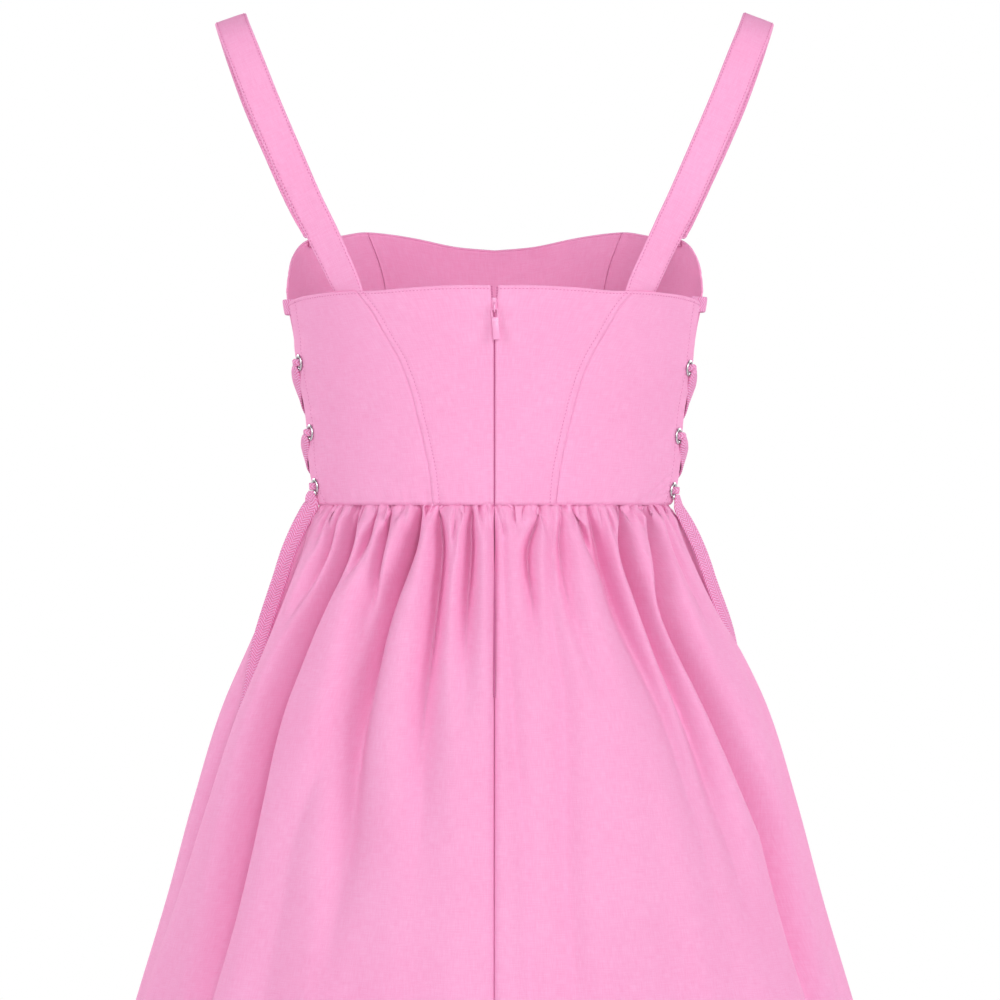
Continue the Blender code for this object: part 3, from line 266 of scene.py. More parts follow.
# The gathered cloth stands out below the waist seam and tucks in at it. The hem waves.
GATHER_PUFF = 0.0026
WAIST_TUCK, WAIST_TUCK_REACH = 0.0016, 0.0013
HEM_WAVE = 0.0035
DRAPE_DEPTH = 0.0016
SKIRT_TOP_GAP = 0.0002
HEM_STITCH_INSET = 0.020
SKIRT_CLOTH = SEAM_CLOTH * 0.8
# The skirt's top row lies above the waist seam and farther in.
TOP_ROW_UP, TOP_ROW_IN = 0.0016, 0.0016

# Strap centre line from the back edge over the shoulder to the front edge, and the direction
# across it to its outer edge.
StrapRow = namedtuple("StrapRow", "x y z across_x across_y across_z")
STRAP = (
    StrapRow(0.1112, 0.0680, -0.1900, 0.80, -0.44, -0.38),
    StrapRow(0.1256, 0.0660, -0.1594, 0.84, -0.33, -0.38),
    StrapRow(0.1366, 0.0640, -0.1374, 0.88, -0.20, -0.39),
    StrapRow(0.1529, 0.0590, -0.1006, 0.91, -0.08, -0.39),
    StrapRow(0.1689, 0.0500, -0.0633, 0.92, -0.04, -0.38),
    StrapRow(0.1811, 0.0390, -0.0331, 0.93, -0.02, -0.36),
    StrapRow(0.1905, 0.0250, -0.0105, 0.94, 0.00, -0.34),
    StrapRow(0.1950, 0.0060, 0.0008, 0.94, 0.00, -0.34),
    StrapRow(0.1935, -0.0120, -0.0065, 0.94, 0.02, -0.34),
    StrapRow(0.1870, -0.0270, -0.0280, 0.92, 0.10, -0.37),
    StrapRow(0.1770, -0.0390, -0.0570, 0.88, 0.22, -0.40),
    StrapRow(0.1625, -0.0490, -0.0930, 0.80, 0.42, -0.40),
    StrapRow(0.1480, -0.0560, -0.1280, 0.70, 0.60, -0.38),
    StrapRow(0.1375, -0.0610, -0.1500, 0.62, 0.68, -0.37),
)
STRAP_BACK_DEGREES = (38.9, 50.6)
STRAP_FRONT_DEGREES = (52.0, 66.0)

# Wrinkles beside the laced edges of the back: where they start from the edge, their height
# above the waist seam there, how they fall away from the edge, and their size.
Pull = namedtuple("Pull", "start height slope length depth width")
BACK_PULLS = {
    LEFT: (
        Pull(0.008, 0.074, -0.15, 0.026, 0.0009, 0.0014),
        Pull(0.006, 0.066, 0.25, 0.034, 0.0010, 0.0016),
        Pull(0.018, 0.100, 0.55, 0.030, 0.0007, 0.0018),
        Pull(0.016, 0.046, 0.35, 0.036, 0.0006, 0.0018),
    ),
    RIGHT: (
        Pull(0.012, 0.020, 0.70, 0.034, 0.0011, 0.0016),
        Pull(0.014, 0.028, 0.85, 0.040, 0.0010, 0.0018),
        Pull(0.010, 0.013, 0.45, 0.026, 0.0008, 0.0013),
        Pull(0.016, 0.060, 0.50, 0.036, 0.0007, 0.0018),
        Pull(0.010, 0.105, 0.40, 0.030, 0.0006, 0.0018),
    ),
}

# One crossing of the lace, from an upper eyelet to the next one down on the other edge.
CrossRow = namedtuple("CrossRow", "share over under lean tilt width")
CROSSING = (
    CrossRow(0.05, 0.0030, 0.0034, 5, 10, 0.0076),
    CrossRow(0.10, 0.0026, 0.0033, 15, 22, 0.0086),
    CrossRow(0.17, 0.0021, 0.0028, 26, 30, 0.0090),
    CrossRow(0.24, 0.0017, 0.0022, 36, 32, 0.0090),
    CrossRow(0.31, 0.0013, 0.0012, 44, 26, 0.0088),
    CrossRow(0.40, 0.0010, -0.0002, 50, 14, 0.0086),
    CrossRow(0.50, 0.0004, -0.0014, 50, 4, 0.0082),
    CrossRow(0.60, -0.0006, -0.0022, 48, 0, 0.0080),
    CrossRow(0.69, -0.0022, -0.0030, 42, 0, 0.0070),
    CrossRow(0.76, -0.0034, -0.0038, 32, 0, 0.0068),
    CrossRow(0.85, -0.0041, -0.0042, 20, 0, 0.0066),
    CrossRow(0.93, -0.0044, -0.0044, 8, 0, 0.0062),
)
# The powers of the share that bow a crossing's path, across the opening and down it.
CROSSING_BOW = 1.25
CROSSING_DROP = 0.88
# Factors for how far the loops of the lacing stand out, by side.
LOOSENESS = {LEFT: 1.0, RIGHT: 1.1}
# The lace's turn through an eyelet: its shift towards the opening as a share of LACE_TURN, and
# its way out from behind the cloth.
HoleRow = namedtuple("HoleRow", "shift share")
HOLE_TURN = (
    HoleRow(1.0, 0.0), HoleRow(0.35, 0.14), HoleRow(0.0, 0.37), HoleRow(0.0, 0.64),
    HoleRow(0.35, 0.90), HoleRow(1.0, 1.0),
)
# The hanging ends, by the drop below the lowest eyelet: how far outside the form, the turn of
# the tape about its length on either side, and its width. The back ends follow the hollows.
TailRow = namedtuple("TailRow", "drop out left_turn right_turn width")
BACK_TAIL = (
    TailRow(-0.0032, 0.0034, 6, 0, 0.0068),
    TailRow(-0.0065, 0.0042, 28, 5, 0.0090),
    TailRow(-0.0130, 0.0044, 55, 20, 0.0114),
    TailRow(-0.0250, 0.0060, 70, 34, 0.0118),
    TailRow(-0.0450, 0.0067, 74, 38, LACE_WIDTH),
    TailRow(-0.0700, 0.0032, 78, 38, LACE_WIDTH),
    TailRow(-0.0850, 0.0012, 78, 36, LACE_WIDTH),
    TailRow(-0.1000, -0.0008, 75, 32, LACE_WIDTH),
    TailRow(-0.1215, -0.0048, 68, 28, LACE_WIDTH),
    TailRow(-0.1350, -0.0083, 60, 25, LACE_WIDTH),
    TailRow(-0.1584, -0.0138, 50, 20, LACE_WIDTH),
    TailRow(-0.1750, -0.0150, 45, 18, LACE_WIDTH),
    TailRow(-0.2100, -0.0158, 38, 10, LACE_WIDTH),
    TailRow(-0.2400, -0.0165, 32, 8, LACE_WIDTH),
)
TAIL_SHIFT = -0.0010
# The front ends lie on the skirt. Inset is their distance before the side line.
FrontTailRow = namedtuple("FrontTailRow", "drop inset out left_turn right_turn width")
FRONT_TAIL = (
    FrontTailRow(-0.0032, 0.0226, 0.0034, 0, 0, 0.0062),
    FrontTailRow(-0.0065, 0.0226, 0.0052, 3, 3, 0.0072),
    FrontTailRow(-0.0130, 0.0236, 0.0062, 8, 8, 0.0090),
    FrontTailRow(-0.0250, 0.0260, 0.0070, 14, 14, 0.0112),
    FrontTailRow(-0.0450, 0.0300, 0.0066, 16, 16, LACE_WIDTH),
    FrontTailRow(-0.0700, 0.0330, 0.0060, 14, 14, LACE_WIDTH),
    FrontTailRow(-0.1000, 0.0350, 0.0050, 8, 8, LACE_WIDTH),
    FrontTailRow(-0.1350, 0.0355, 0.0034, 4, 4, LACE_WIDTH),
    FrontTailRow(-0.1750, 0.0350, 0.0028, 0, 0, LACE_WIDTH),
    FrontTailRow(-0.2100, 0.0330, 0.0028, 0, 0, LACE_WIDTH),
    FrontTailRow(-0.2400, 0.0310, 0.0030, 0, 0, LACE_WIDTH),
)
# Half of the short tape across the top of a side opening, from its end to the side line.
BarRow = namedtuple("BarRow", "inset out")
LACE_BAR = (
    BarRow(0.0200, -0.0033), BarRow(0.0105, -0.0032), BarRow(0.0080, -0.0018),
    BarRow(0.0040, 0.0014), BarRow(0.0001, 0.0024),
)
Knot = namedtuple("Knot", "key value")


# ---------------------------------------------------------------- camera, light and floor
CAMERA_PLACE = (-0.004, 3.0, -0.3545)
CAMERA_LENS = 145.9
CAMERA_SENSOR = 36.0
FLOOR_Z = -1.42
FLOOR_RADIUS = 3.6
WORLD_HIGH = 0.22
WORLD_LEVEL = 1.0
WORLD_BAND = (0.135, 0.270)

Lamp = namedtuple("Lamp", "name place target size power")
LAMPS = (
    Lamp("key", (-2.45, 1.75, 0.9), (0, 0, -0.45), 1.6, 34.6),
    Lamp("fill", (2.45, 1.75, 0.7), (0, 0, -0.45), 1.6, 29.0),
    Lamp("back", (-0.4, 2.95, 0.7), (0, 0, -0.3), 1.0, 29.4),
    Lamp("front_key", (2.1, -2.1, 0.9), (0, 0, -0.45), 1.6, 40),
    Lamp("front_fill", (-2.1, -2.1, 0.7), (0, 0, -0.45), 1.6, 30),
)


def make_camera():
    data = bpy.data.cameras.new("camera")
    data.lens = CAMERA_LENS
    data.sensor_width = CAMERA_SENSOR
    camera = bpy.data.objects.new("camera", data)
    camera.location = CAMERA_PLACE
    camera.rotation_euler = (math.radians(90), 0, math.radians(180))
    bpy.context.scene.collection.objects.link(camera)
    bpy.context.scene.camera = camera


def make_world():
    """White all round the horizon and softer above, as in a white studio."""
    world = bpy.data.worlds.new("studio")
    bpy.context.scene.world = world
    world.use_nodes = True
    tree = world.node_tree
    background = tree.nodes["Background"]
    background.inputs["Color"].default_value = (1, 1, 1, 1)
    coordinates = tree.nodes.new("ShaderNodeTexCoord")
    split = tree.nodes.new("ShaderNodeSeparateXYZ")
    height = tree.nodes.new("ShaderNodeMath")
    height.operation = "ABSOLUTE"
    ramp = tree.nodes.new("ShaderNodeMapRange")
    ramp.interpolation_type = "SMOOTHSTEP"
    ramp.inputs["From Min"].default_value = WORLD_BAND[0]
    ramp.inputs["From Max"].default_value = WORLD_BAND[1]
    ramp.inputs["To Min"].default_value = WORLD_LEVEL
    ramp.inputs["To Max"].default_value = WORLD_HIGH
    tree.links.new(coordinates.outputs["Generated"], split.inputs[0])
    tree.links.new(split.outputs["Z"], height.inputs[0])
    tree.links.new(height.outputs[0], ramp.inputs["Value"])
    tree.links.new(ramp.outputs[0], background.inputs["Strength"])


def add_area_light(name, place, target, size, power):
    data = bpy.data.lights.new(name, "AREA")
    data.shape = "DISK"
    data.size = size
    data.energy = power
    lamp = bpy.data.objects.new(name, data)
    lamp.location = place
    way = Vector(target) - Vector(place)
    lamp.rotation_euler = way.to_track_quat("-Z", "Y").to_euler()
    bpy.context.scene.collection.objects.link(lamp)


def make_lights():
    for lamp in LAMPS:
        add_area_light(*lamp)


def make_floor():
    bm = bmesh.new()
    bmesh.ops.create_circle(bm, cap_ends=True, segments=96, radius=FLOOR_RADIUS)
    mesh = bpy.data.meshes.new("floor")
    bm.to_mesh(mesh)
    bm.free()
    floor = bpy.data.objects.new("floor", mesh)
    floor.location = (0, 0, FLOOR_Z)
    material = bpy.data.materials.new("floor")
    material.use_nodes = True
    shader = material.node_tree.nodes["Principled BSDF"]
    shader.inputs["Base Color"].default_value = (0.86, 0.86, 0.86, 1)
    shader.inputs["Roughness"].default_value = 0.7
    mesh.materials.append(material)
    bpy.context.scene.collection.objects.link(floor)


def set_view():
    bpy.context.scene.view_settings.view_transform = "Standard"
    bpy.context.scene.view_settings.look = "None"


# ---------------------------------------------------------------- curves and forms
class Curve:
    """A smooth curve through one column of a table, for one value or many."""

    def __init__(self, rows, key, column):
        ordered = sorted(rows, key=lambda row: getattr(row, key))
        self.keys = np.array([getattr(row, key) for row in ordered], float)
        self.values = np.array([getattr(row, column) for row in ordered], float)
        self.slopes = np.gradient(self.values, self.keys)

    def __call__(self, at):
        at = np.clip(at, self.keys[0], self.keys[-1])
        low = np.searchsorted(self.keys, at, side="right") - 1
        low = np.clip(low, 0, len(self.keys) - 2)
        span = self.keys[low + 1] - self.keys[low]
        t = (at - self.keys[low]) / span
        start = (1 + 2 * t) * (1 - t) ** 2 * self.values[low]
        end = t * t * (3 - 2 * t) * self.values[low + 1]
        lean_in = t * (1 - t) ** 2 * span * self.slopes[low]
        lean_out = t * t * (t - 1) * span * self.slopes[low + 1]
        return start + end + lean_in + lean_out


def smoothstep(low, high, value):
    t = np.clip((value - low) / (high - low), 0.0, 1.0)
    return t * t * (3 - 2 * t)


def mix(a, b, t):
    return a + (b - a) * t


def bell(value, width):
    return np.exp(-(value / width) ** 2)


def unit(vectors):
    return vectors / np.maximum(np.linalg.norm(vectors, axis=-1, keepdims=True), 1e-9)


class Body:
    """A hollow form: half an ellipse behind and half in front at each height."""

    def __init__(self, sections):
        self.back_half = Curve(sections, "z", "back_half")
        self.front_half = Curve(sections, "z", "front_half")
        self.back_depth = Curve(sections, "z", "back_depth")
        self.front_depth = Curve(sections, "z", "front_depth")

    def point(self, theta, z, out=0.0, side=LEFT):
        """Theta runs from the back centre round one side to the front centre."""
        forward = smoothstep(math.radians(70), math.radians(110), theta)
        half = mix(self.back_half(z), self.front_half(z), forward)
        depth = np.where(theta <= math.pi / 2, self.back_depth(z), self.front_depth(z))
        across, ahead = np.sin(theta), np.cos(theta)
        normal = unit(np.stack(np.broadcast_arrays(across / half, ahead / depth), axis=-1))
        x = half * across + normal[..., 0] * out
        y = depth * ahead + normal[..., 1] * out
        return np.stack(np.broadcast_arrays(x * side, y, z), axis=-1)

    def theta_at_x(self, x, z, face):
        half = self.back_half(z) if face == BACK else self.front_half(z)
        angle = np.arcsin(np.minimum(x / half, 1.0))
        return angle if face == BACK else math.pi - angle

    def theta_at_inset(self, inset, z, face):
        """The angle that lies this far behind or before the side line."""
        if face == BACK:
            return np.arccos(inset / self.back_depth(z))
        return math.pi - np.arccos(inset / self.front_depth(z))


BODICE = Body(SECTIONS)
SKIRT = Body(SKIRT_SECTIONS)
back_top = Curve(BACK_TOP, "degrees", "z")
front_top = Curve(FRONT_TOP, "degrees", "z")
side_gap = Curve(SIDE_GAP, "z", "half")
VALLEY_INSET = {LEFT: Curve(SIDE_VALLEY, "z", "left"), RIGHT: Curve(SIDE_VALLEY, "z", "right")}
valley_depth = Curve(SIDE_VALLEY, "z", "depth")
valley_rear = Curve(SIDE_VALLEY, "z", "rear")
valley_front = Curve(SIDE_VALLEY, "z", "front")
crease_width = Curve(CREASE_SWELL, "below", "width")
crease_depth = Curve(CREASE_SWELL, "below", "depth")
back_seam = Curve(BACK_SEAM, "z", "x")
front_seam = Curve(FRONT_SEAM, "z", "x")


def graded(count, closeness):
    """Shares from 0 to 1 that lie closer together at both ends."""
    t = np.linspace(0.0, 1.0, count + 1)
    return t - closeness * np.sin(2 * math.pi * t) / (2 * math.pi)


def side_name(side):
    return "left" if side == LEFT else "right"


# ---------------------------------------------------------------- materials
class Nodes:
    """Short names for building a material's node tree."""

    def __init__(self, name):
        self.material = bpy.data.materials.new(name)
        self.material.use_nodes = True
        self.tree = self.material.node_tree
        self.shader = self.tree.nodes["Principled BSDF"]

    def add(self, kind, **inputs):
        node = self.tree.nodes.new(kind)
        for name, value in inputs.items():
            self.feed(node.inputs[name.replace("_", " ")], value)
        return node

    def feed(self, socket, value):
        if isinstance(value, bpy.types.NodeSocket):
            self.tree.links.new(value, socket)
        else:
            socket.default_value = value

    def math(self, operation, first, second=0.0):
        node = self.tree.nodes.new("ShaderNodeMath")
        node.operation = operation
        self.feed(node.inputs[0], first)
        self.feed(node.inputs[1], second)
        return node.outputs[0]

    def noise(self, coordinates, scale, detail=3.0, roughness=0.55):
        node = self.add("ShaderNodeTexNoise", Vector=coordinates, Scale=scale, Detail=detail,
                        Roughness=roughness)
        return node.outputs["Fac"]

    def stretched(self, coordinates, scales):
        node = self.add("ShaderNodeMapping", Vector=coordinates)
        node.inputs["Scale"].default_value = scales
        return node.outputs[0]

    def ramp(self, value, stops):
        node = self.tree.nodes.new("ShaderNodeValToRGB")
        self.tree.links.new(value, node.inputs["Fac"])
        elements = node.color_ramp.elements
        elements[0].position, elements[0].color = stops[0]
        elements[1].position, elements[1].color = stops[1]
        return node.outputs["Color"]

    def greys(self, value, low_at, low, high_at, high):
        """A ramp from one grey to another."""
        return self.ramp(value, ((low_at, (low, low, low, 1)), (high_at, (high, high, high, 1))))

    def object_place(self):
        return self.add("ShaderNodeTexCoord").outputs["Object"]

    def uv(self):
        return self.add("ShaderNodeUVMap").outputs["UV"]

    def tint(self, color, factor, value):
        """A colour made lighter or darker by a value about 0.5."""
        node = self.tree.nodes.new("ShaderNodeMix")
        node.data_type = "RGBA"
        node.blend_type = "OVERLAY"
        self.feed(node.inputs[0], factor)
        self.feed(node.inputs[6], color)
        self.feed(node.inputs[7], value)
        return node.outputs[2]

    def bump(self, height, distance, strength=1.0, under=None):
        node = self.add("ShaderNodeBump", Height=height, Distance=distance, Strength=strength)
        if under is not None:
            self.tree.links.new(under, node.inputs["Normal"])
        return node.outputs["Normal"]

    def principled(self, **inputs):
        for name, value in inputs.items():
            self.feed(self.shader.inputs[name.replace("_", " ")], value)


COTTON = (0.875, 0.366, 0.607, 1)
TAPE = (0.860, 0.330, 0.580, 1)
# The thread's own pink, darkened with painted shade where the stitches sink into the cloth.
THREAD_AND_STITCH_SHADE = (0.700, 0.200, 0.420, 1)
ENAMEL = (0.850, 0.345, 0.590, 1)
# The coil's pink, darkened with painted shade for the narrow gap it shows through at the centre seam.
COIL = (0.700, 0.200, 0.420, 1)


def weave(nodes, coordinates, yarn):
    """The height of a plain weave with this yarn spacing, from -1 to 1."""
    split = nodes.add("ShaderNodeSeparateXYZ", Vector=coordinates)
    turn = 2 * math.pi / yarn
    across = nodes.math("SINE", nodes.math("MULTIPLY", split.outputs["X"], turn))
    down = nodes.math("SINE", nodes.math("MULTIPLY", split.outputs["Y"], turn))
    return nodes.math("MULTIPLY", across, down)


def cotton_material(name, color):
    """Plain-weave cotton: fine yarns with thicker and thinner stretches, and soft creasing."""
    nodes = Nodes(name)
    uv = nodes.uv()
    place = nodes.object_place()
    warp = nodes.noise(nodes.stretched(uv, (1500, 110, 1)), 1.0, 2.0)
    weft = nodes.noise(nodes.stretched(uv, (110, 1500, 1)), 1.0, 2.0)
    yarns = nodes.math("MULTIPLY", nodes.math("ADD", warp, weft), 0.5)
    clouds = nodes.noise(place, 14.0, 3.0)
    tone = nodes.tint(color, 0.34, nodes.greys(yarns, 0.35, 0.36, 0.65, 0.64))
    tone = nodes.tint(tone, 0.16, nodes.greys(clouds, 0.3, 0.40, 0.7, 0.60))
    rumple = nodes.bump(nodes.noise(place, 55.0, 4.0, 0.6), 0.0010, 0.55)
    yarn_bump = nodes.bump(yarns, 0.00016, 0.6, rumple)
    cloth_bump = nodes.bump(weave(nodes, uv, 0.00060), 0.00006, 0.5, yarn_bump)
    roughness = nodes.math("ADD", nodes.math("MULTIPLY", yarns, 0.12), 0.78)
    nodes.principled(Base_Color=tone, Roughness=roughness, Normal=cloth_bump)
    nodes.principled(Sheen_Weight=0.02, Sheen_Roughness=0.5, Specular_IOR_Level=0.12)
    return nodes.material


def tape_material(name, color, rib, slant):
    """A flat braid: rows of slanting ribs that meet in chevrons along the middle."""
    nodes = Nodes(name)
    uv = nodes.uv()
    split = nodes.add("ShaderNodeSeparateXYZ", Vector=uv)
    fold = nodes.math("PINGPONG", split.outputs["X"], 0.00385)
    slope = nodes.math("MULTIPLY", fold, slant)
    turn = nodes.math("MULTIPLY", nodes.math("ADD", split.outputs["Y"], slope), 2 * math.pi / rib)
    ribs = nodes.math("ADD", nodes.math("MULTIPLY", nodes.math("SINE", turn), 0.5), 0.5)
    fibres = nodes.noise(nodes.stretched(uv, (2600, 2600, 1)), 1.0, 3.0)
    # The ribs' low places are coloured darker: painted shade in the grooves between the ribs.
    tone = nodes.tint(color, 0.80, nodes.greys(ribs, 0.0, 0.26, 0.65, 0.68))
    tone = nodes.tint(tone, 0.25, nodes.greys(fibres, 0.3, 0.35, 0.7, 0.65))
    normal = nodes.bump(ribs, 0.00045, 0.9)
    normal = nodes.bump(fibres, 0.00010, 0.5, normal)
    nodes.principled(Base_Color=tone, Normal=normal)
    nodes.principled(Roughness=0.85, Sheen_Weight=0.05, Specular_IOR_Level=0.2)
    return nodes.material


def thread_material():
    """Twisted sewing thread, darker than the cloth for painted shade where the stitches sink in."""
    nodes = Nodes("sewing_thread")
    place = nodes.object_place()
    twist = nodes.noise(place, 2600.0, 2.0)
    tone = nodes.tint(THREAD_AND_STITCH_SHADE, 0.5, nodes.greys(twist, 0.3, 0.35, 0.7, 0.65))
    nodes.principled(Base_Color=tone, Normal=nodes.bump(twist, 0.00008, 0.6))
    nodes.principled(Roughness=0.6)
    return nodes.material


def metal_material():
    """Bright nickel with faint rubbing."""
    nodes = Nodes("nickel")
    place = nodes.object_place()
    rub = nodes.noise(place, 900.0, 4.0, 0.7)
    tone = nodes.ramp(rub, ((0.3, (0.62, 0.61, 0.63, 1)), (0.7, (0.80, 0.79, 0.81, 1))))
    roughness = nodes.math("ADD", nodes.math("MULTIPLY", rub, 0.14), 0.10)
    nodes.principled(Base_Color=tone, Roughness=roughness, Normal=nodes.bump(rub, 0.00002, 0.4))
    nodes.principled(Metallic=1.0)
    return nodes.material


def enamel_material():
    """Pink lacquer on the zip's slider and pull, slightly worn."""
    nodes = Nodes("zip_enamel")
    place = nodes.object_place()
    peel = nodes.noise(place, 700.0, 3.0)
    tone = nodes.tint(ENAMEL, 0.3, nodes.greys(peel, 0.3, 0.42, 0.7, 0.58))
    roughness = nodes.math("ADD", nodes.math("MULTIPLY", peel, 0.2), 0.28)
    nodes.principled(Base_Color=tone, Roughness=roughness, Normal=nodes.bump(peel, 0.00003, 0.5))
    nodes.principled(Coat_Weight=0.2)
    return nodes.material


def coil_material():
    """The zip's nylon coil, darker than the cloth for painted shade in the centre seam's gap."""
    nodes = Nodes("zip_coil")
    place = nodes.object_place()
    draw = nodes.noise(place, 1800.0, 2.0)
    tone = nodes.tint(COIL, 0.3, nodes.greys(draw, 0.3, 0.42, 0.7, 0.62))
    nodes.principled(Base_Color=tone)
    nodes.principled(Roughness=0.25, Specular_IOR_Level=0.6)
    return nodes.material


# ---------------------------------------------------------------- making pieces
def finish_piece(mesh, name, material, slot, *replaced):
    mesh.shade_smooth()
    mesh.materials.append(material)
    piece = bpy.data.objects.new(name, mesh)
    bpy.context.scene.collection.objects.link(piece)
    if replaced:
        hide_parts(*replaced)
    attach(piece, DRESS)
    return piece


def quads(rows, columns, closed=False):
    """The corner numbers of a grid's faces. A closed grid joins its last column to its first."""
    index = np.arange(rows * columns).reshape(rows, columns)
    after = np.roll(index, -1, axis=1) if closed else index[:, 1:]
    here = index if closed else index[:, :-1]
    faces = np.stack((here[:-1], after[:-1], after[1:], here[1:]), axis=-1)
    return faces.reshape(-1, 4)


def set_uv(mesh, uv):
    layer = mesh.uv_layers.new(name="UVMap")
    corners = np.zeros(len(mesh.loops), int)
    mesh.loops.foreach_get("vertex_index", corners)
    layer.data.foreach_set("uv", uv[corners].astype(np.float32).ravel())


def grid_normals(points, outward):
    """Directions out of a sheet, which look along outward at its middle."""
    across = np.gradient(points, axis=1)
    down = np.gradient(points, axis=0)
    normals = unit(np.cross(across, down))
    middle = normals[normals.shape[0] // 2, normals.shape[1] // 2]
    return normals if np.dot(middle, outward) > 0 else -normals


def arc_lengths(points, axis):
    steps = np.linalg.norm(np.diff(points, axis=axis), axis=2)
    lengths = np.cumsum(steps, axis=axis)
    pad = [(0, 0), (0, 0)]
    pad[axis] = (1, 0)
    return np.pad(lengths, pad)


def path_distances(points):
    """Distances along a path of points, from its first one."""
    return np.concatenate(([0.0], np.cumsum(np.linalg.norm(np.diff(points, axis=0), axis=1))))


def on_path(at, distances, values):
    """Points or directions at these distances along a path."""
    return np.stack([np.interp(at, distances, values[:, k]) for k in range(3)], axis=-1)


class Sheet:
    """A grid of points on one piece of cloth, with the directions out of it."""

    def __init__(self, points, outward):
        self.points = points
        self.normals = grid_normals(points, outward)

    def mesh(self, name):
        rows, columns = self.points.shape[:2]
        faces = quads(rows, columns)
        flat = self.points.reshape(-1, 3)
        first = flat[faces[len(faces) // 2 + columns // 2]]
        facing = np.cross(first[1] - first[0], first[3] - first[0])
        if np.dot(facing, self.normals.reshape(-1, 3)[faces[len(faces) // 2 + columns // 2][0]]) < 0:
            faces = faces[:, ::-1]
        mesh = bpy.data.meshes.new(name)
        mesh.from_pydata(flat.tolist(), [], faces.tolist())
        middle_row, middle_column = rows // 2, columns // 2
        u = arc_lengths(self.points, 1)[middle_row][None, :]
        v = arc_lengths(self.points, 0)[:, middle_column][:, None]
        set_uv(mesh, np.stack(np.broadcast_arrays(u, v), axis=-1).reshape(-1, 2))
        return mesh

    def area(self):
        across = np.diff(self.points, axis=1)[:-1]
        down = np.diff(self.points, axis=0)[:, :-1]
        return float(np.linalg.norm(np.cross(across, down), axis=2).sum())

    def size(self):
        width = arc_lengths(self.points, 1)[:, -1].max()
        length = arc_lengths(self.points, 0)[-1].max()
        return float(width), float(length)

    def line(self, edge, inset):
        """Points and outward directions of a line beside the left, right, top or low edge."""
        points, normals = self.points, self.normals
        if edge in ("right", "low"):
            points, normals = points[::-1, ::-1], normals[::-1, ::-1]
        if edge in ("top", "low"):
            points, normals = points.swapaxes(0, 1), normals.swapaxes(0, 1)
        lengths = arc_lengths(points, 1)
        place, way = [], []
        for row in range(len(points)):
            place.append([np.interp(inset, lengths[row], points[row, :, k]) for k in range(3)])
            way.append([np.interp(inset, lengths[row], normals[row, :, k]) for k in range(3)])
        return np.array(place), unit(np.array(way))


def cloth_piece(sheet, node, thickness, material, cutters=()):
    """A thin shell on a sheet's points, cut by the holes it needs."""
    name = f"{node}_cloth"
    piece = finish_piece(sheet.mesh(name), name, material, "pink_cotton", node)
    wall = piece.modifiers.new("wall", "SOLIDIFY")
    wall.thickness = thickness
    wall.offset = -1.0
    for cutter in cutters:
        cut = piece.modifiers.new("hole", "BOOLEAN")
        cut.operation = "DIFFERENCE"
        cut.object = cutter
        cut.solver = "EXACT"
    if cutters:
        settle(piece)
        for cutter in cutters:
            bpy.data.objects.remove(cutter, do_unlink=True)
    return piece


def settle(piece):
    """Applies a piece's modifiers to its mesh."""
    bpy.context.view_layer.update()
    graph = bpy.context.evaluated_depsgraph_get()
    mesh = bpy.data.meshes.new_from_object(piece.evaluated_get(graph), depsgraph=graph)
    piece.modifiers.clear()
    piece.data = mesh


def declare_sheet(sheet):
    width, length = sheet.size()
    area = min(sheet.area(), width * length)


# ---------------------------------------------------------------- tapes
TAPE_FACE_POINTS = 9


def tape_profile(crown):
    """A tape's section: places across it and heights, from -1 to 1, round its outline."""
    across = np.linspace(-0.93, 0.93, TAPE_FACE_POINTS)
    height = 1.0 - crown * np.abs(across) ** 6
    top = np.stack((across, height), axis=-1)
    low = np.stack((across[::-1], -height), axis=-1)
    return np.concatenate((top, [[1.0, 0.0]], low, [[-1.0, 0.0]]))


def smooth_track(points, count):
    """More points along a smooth curve through the given ones."""
    keys = range(len(points))
    at = np.linspace(0, len(points) - 1, count)
    columns = [Curve([Knot(k, points[k][axis]) for k in keys], "key", "value")(at)
               for axis in range(len(points[0]))]
    return np.stack(columns, axis=-1)


class Tape:
    """A flat tape through rows of a middle, a direction across and a width."""

    def __init__(self, middles, acrosses, widths, thickness, spacing):
        reach = np.linalg.norm(np.diff(middles, axis=0), axis=1).sum()
        count = max(int(reach / spacing), 8)
        self.middles = smooth_track(middles, count)
        self.widths = smooth_track([[w] for w in widths], count)[:, 0]
        along = unit(np.gradient(self.middles, axis=0))
        across = smooth_track(acrosses, count)
        across = across - along * (across * along).sum(axis=1, keepdims=True)
        self.acrosses = unit(across)
        self.normals = np.cross(self.acrosses, along)
        self.thickness = thickness

    def length(self):
        return float(np.linalg.norm(np.diff(self.middles, axis=0), axis=1).sum())

    def mesh(self, name, crown=0.35, ripple=None):
        profile = tape_profile(crown)
        half = self.widths[:, None, None] / 2
        side = self.acrosses[:, None, :] * profile[None, :, 0, None] * half
        thick = self.normals[:, None, :] * profile[None, :, 1, None] * self.thickness / 2
        points = self.middles[:, None, :] + side + thick
        along = path_distances(self.middles)
        if ripple is not None:
            points = points + self.normals[:, None, :] * ripple(along, profile[:, 0])[:, :, None]
        rows, columns = points.shape[:2]
        faces = quads(rows, columns, closed=True).tolist()
        faces.append(list(range(columns))[::-1])
        faces.append([(rows - 1) * columns + k for k in range(columns)])
        mesh = bpy.data.meshes.new(name)
        mesh.from_pydata(points.reshape(-1, 3).tolist(), [], faces)
        u = profile[None, :, 0] * half[:, :, 0]
        uv = np.stack(np.broadcast_arrays(u, along[:, None]), axis=-1)
        set_uv(mesh, uv.reshape(-1, 2))
        fix_facing(mesh)
        return mesh


def fix_facing(mesh):
    bm = bmesh.new()
    bm.from_mesh(mesh)
    bmesh.ops.recalc_face_normals(bm, faces=bm.faces[:])
    bm.to_mesh(mesh)
    bm.free()


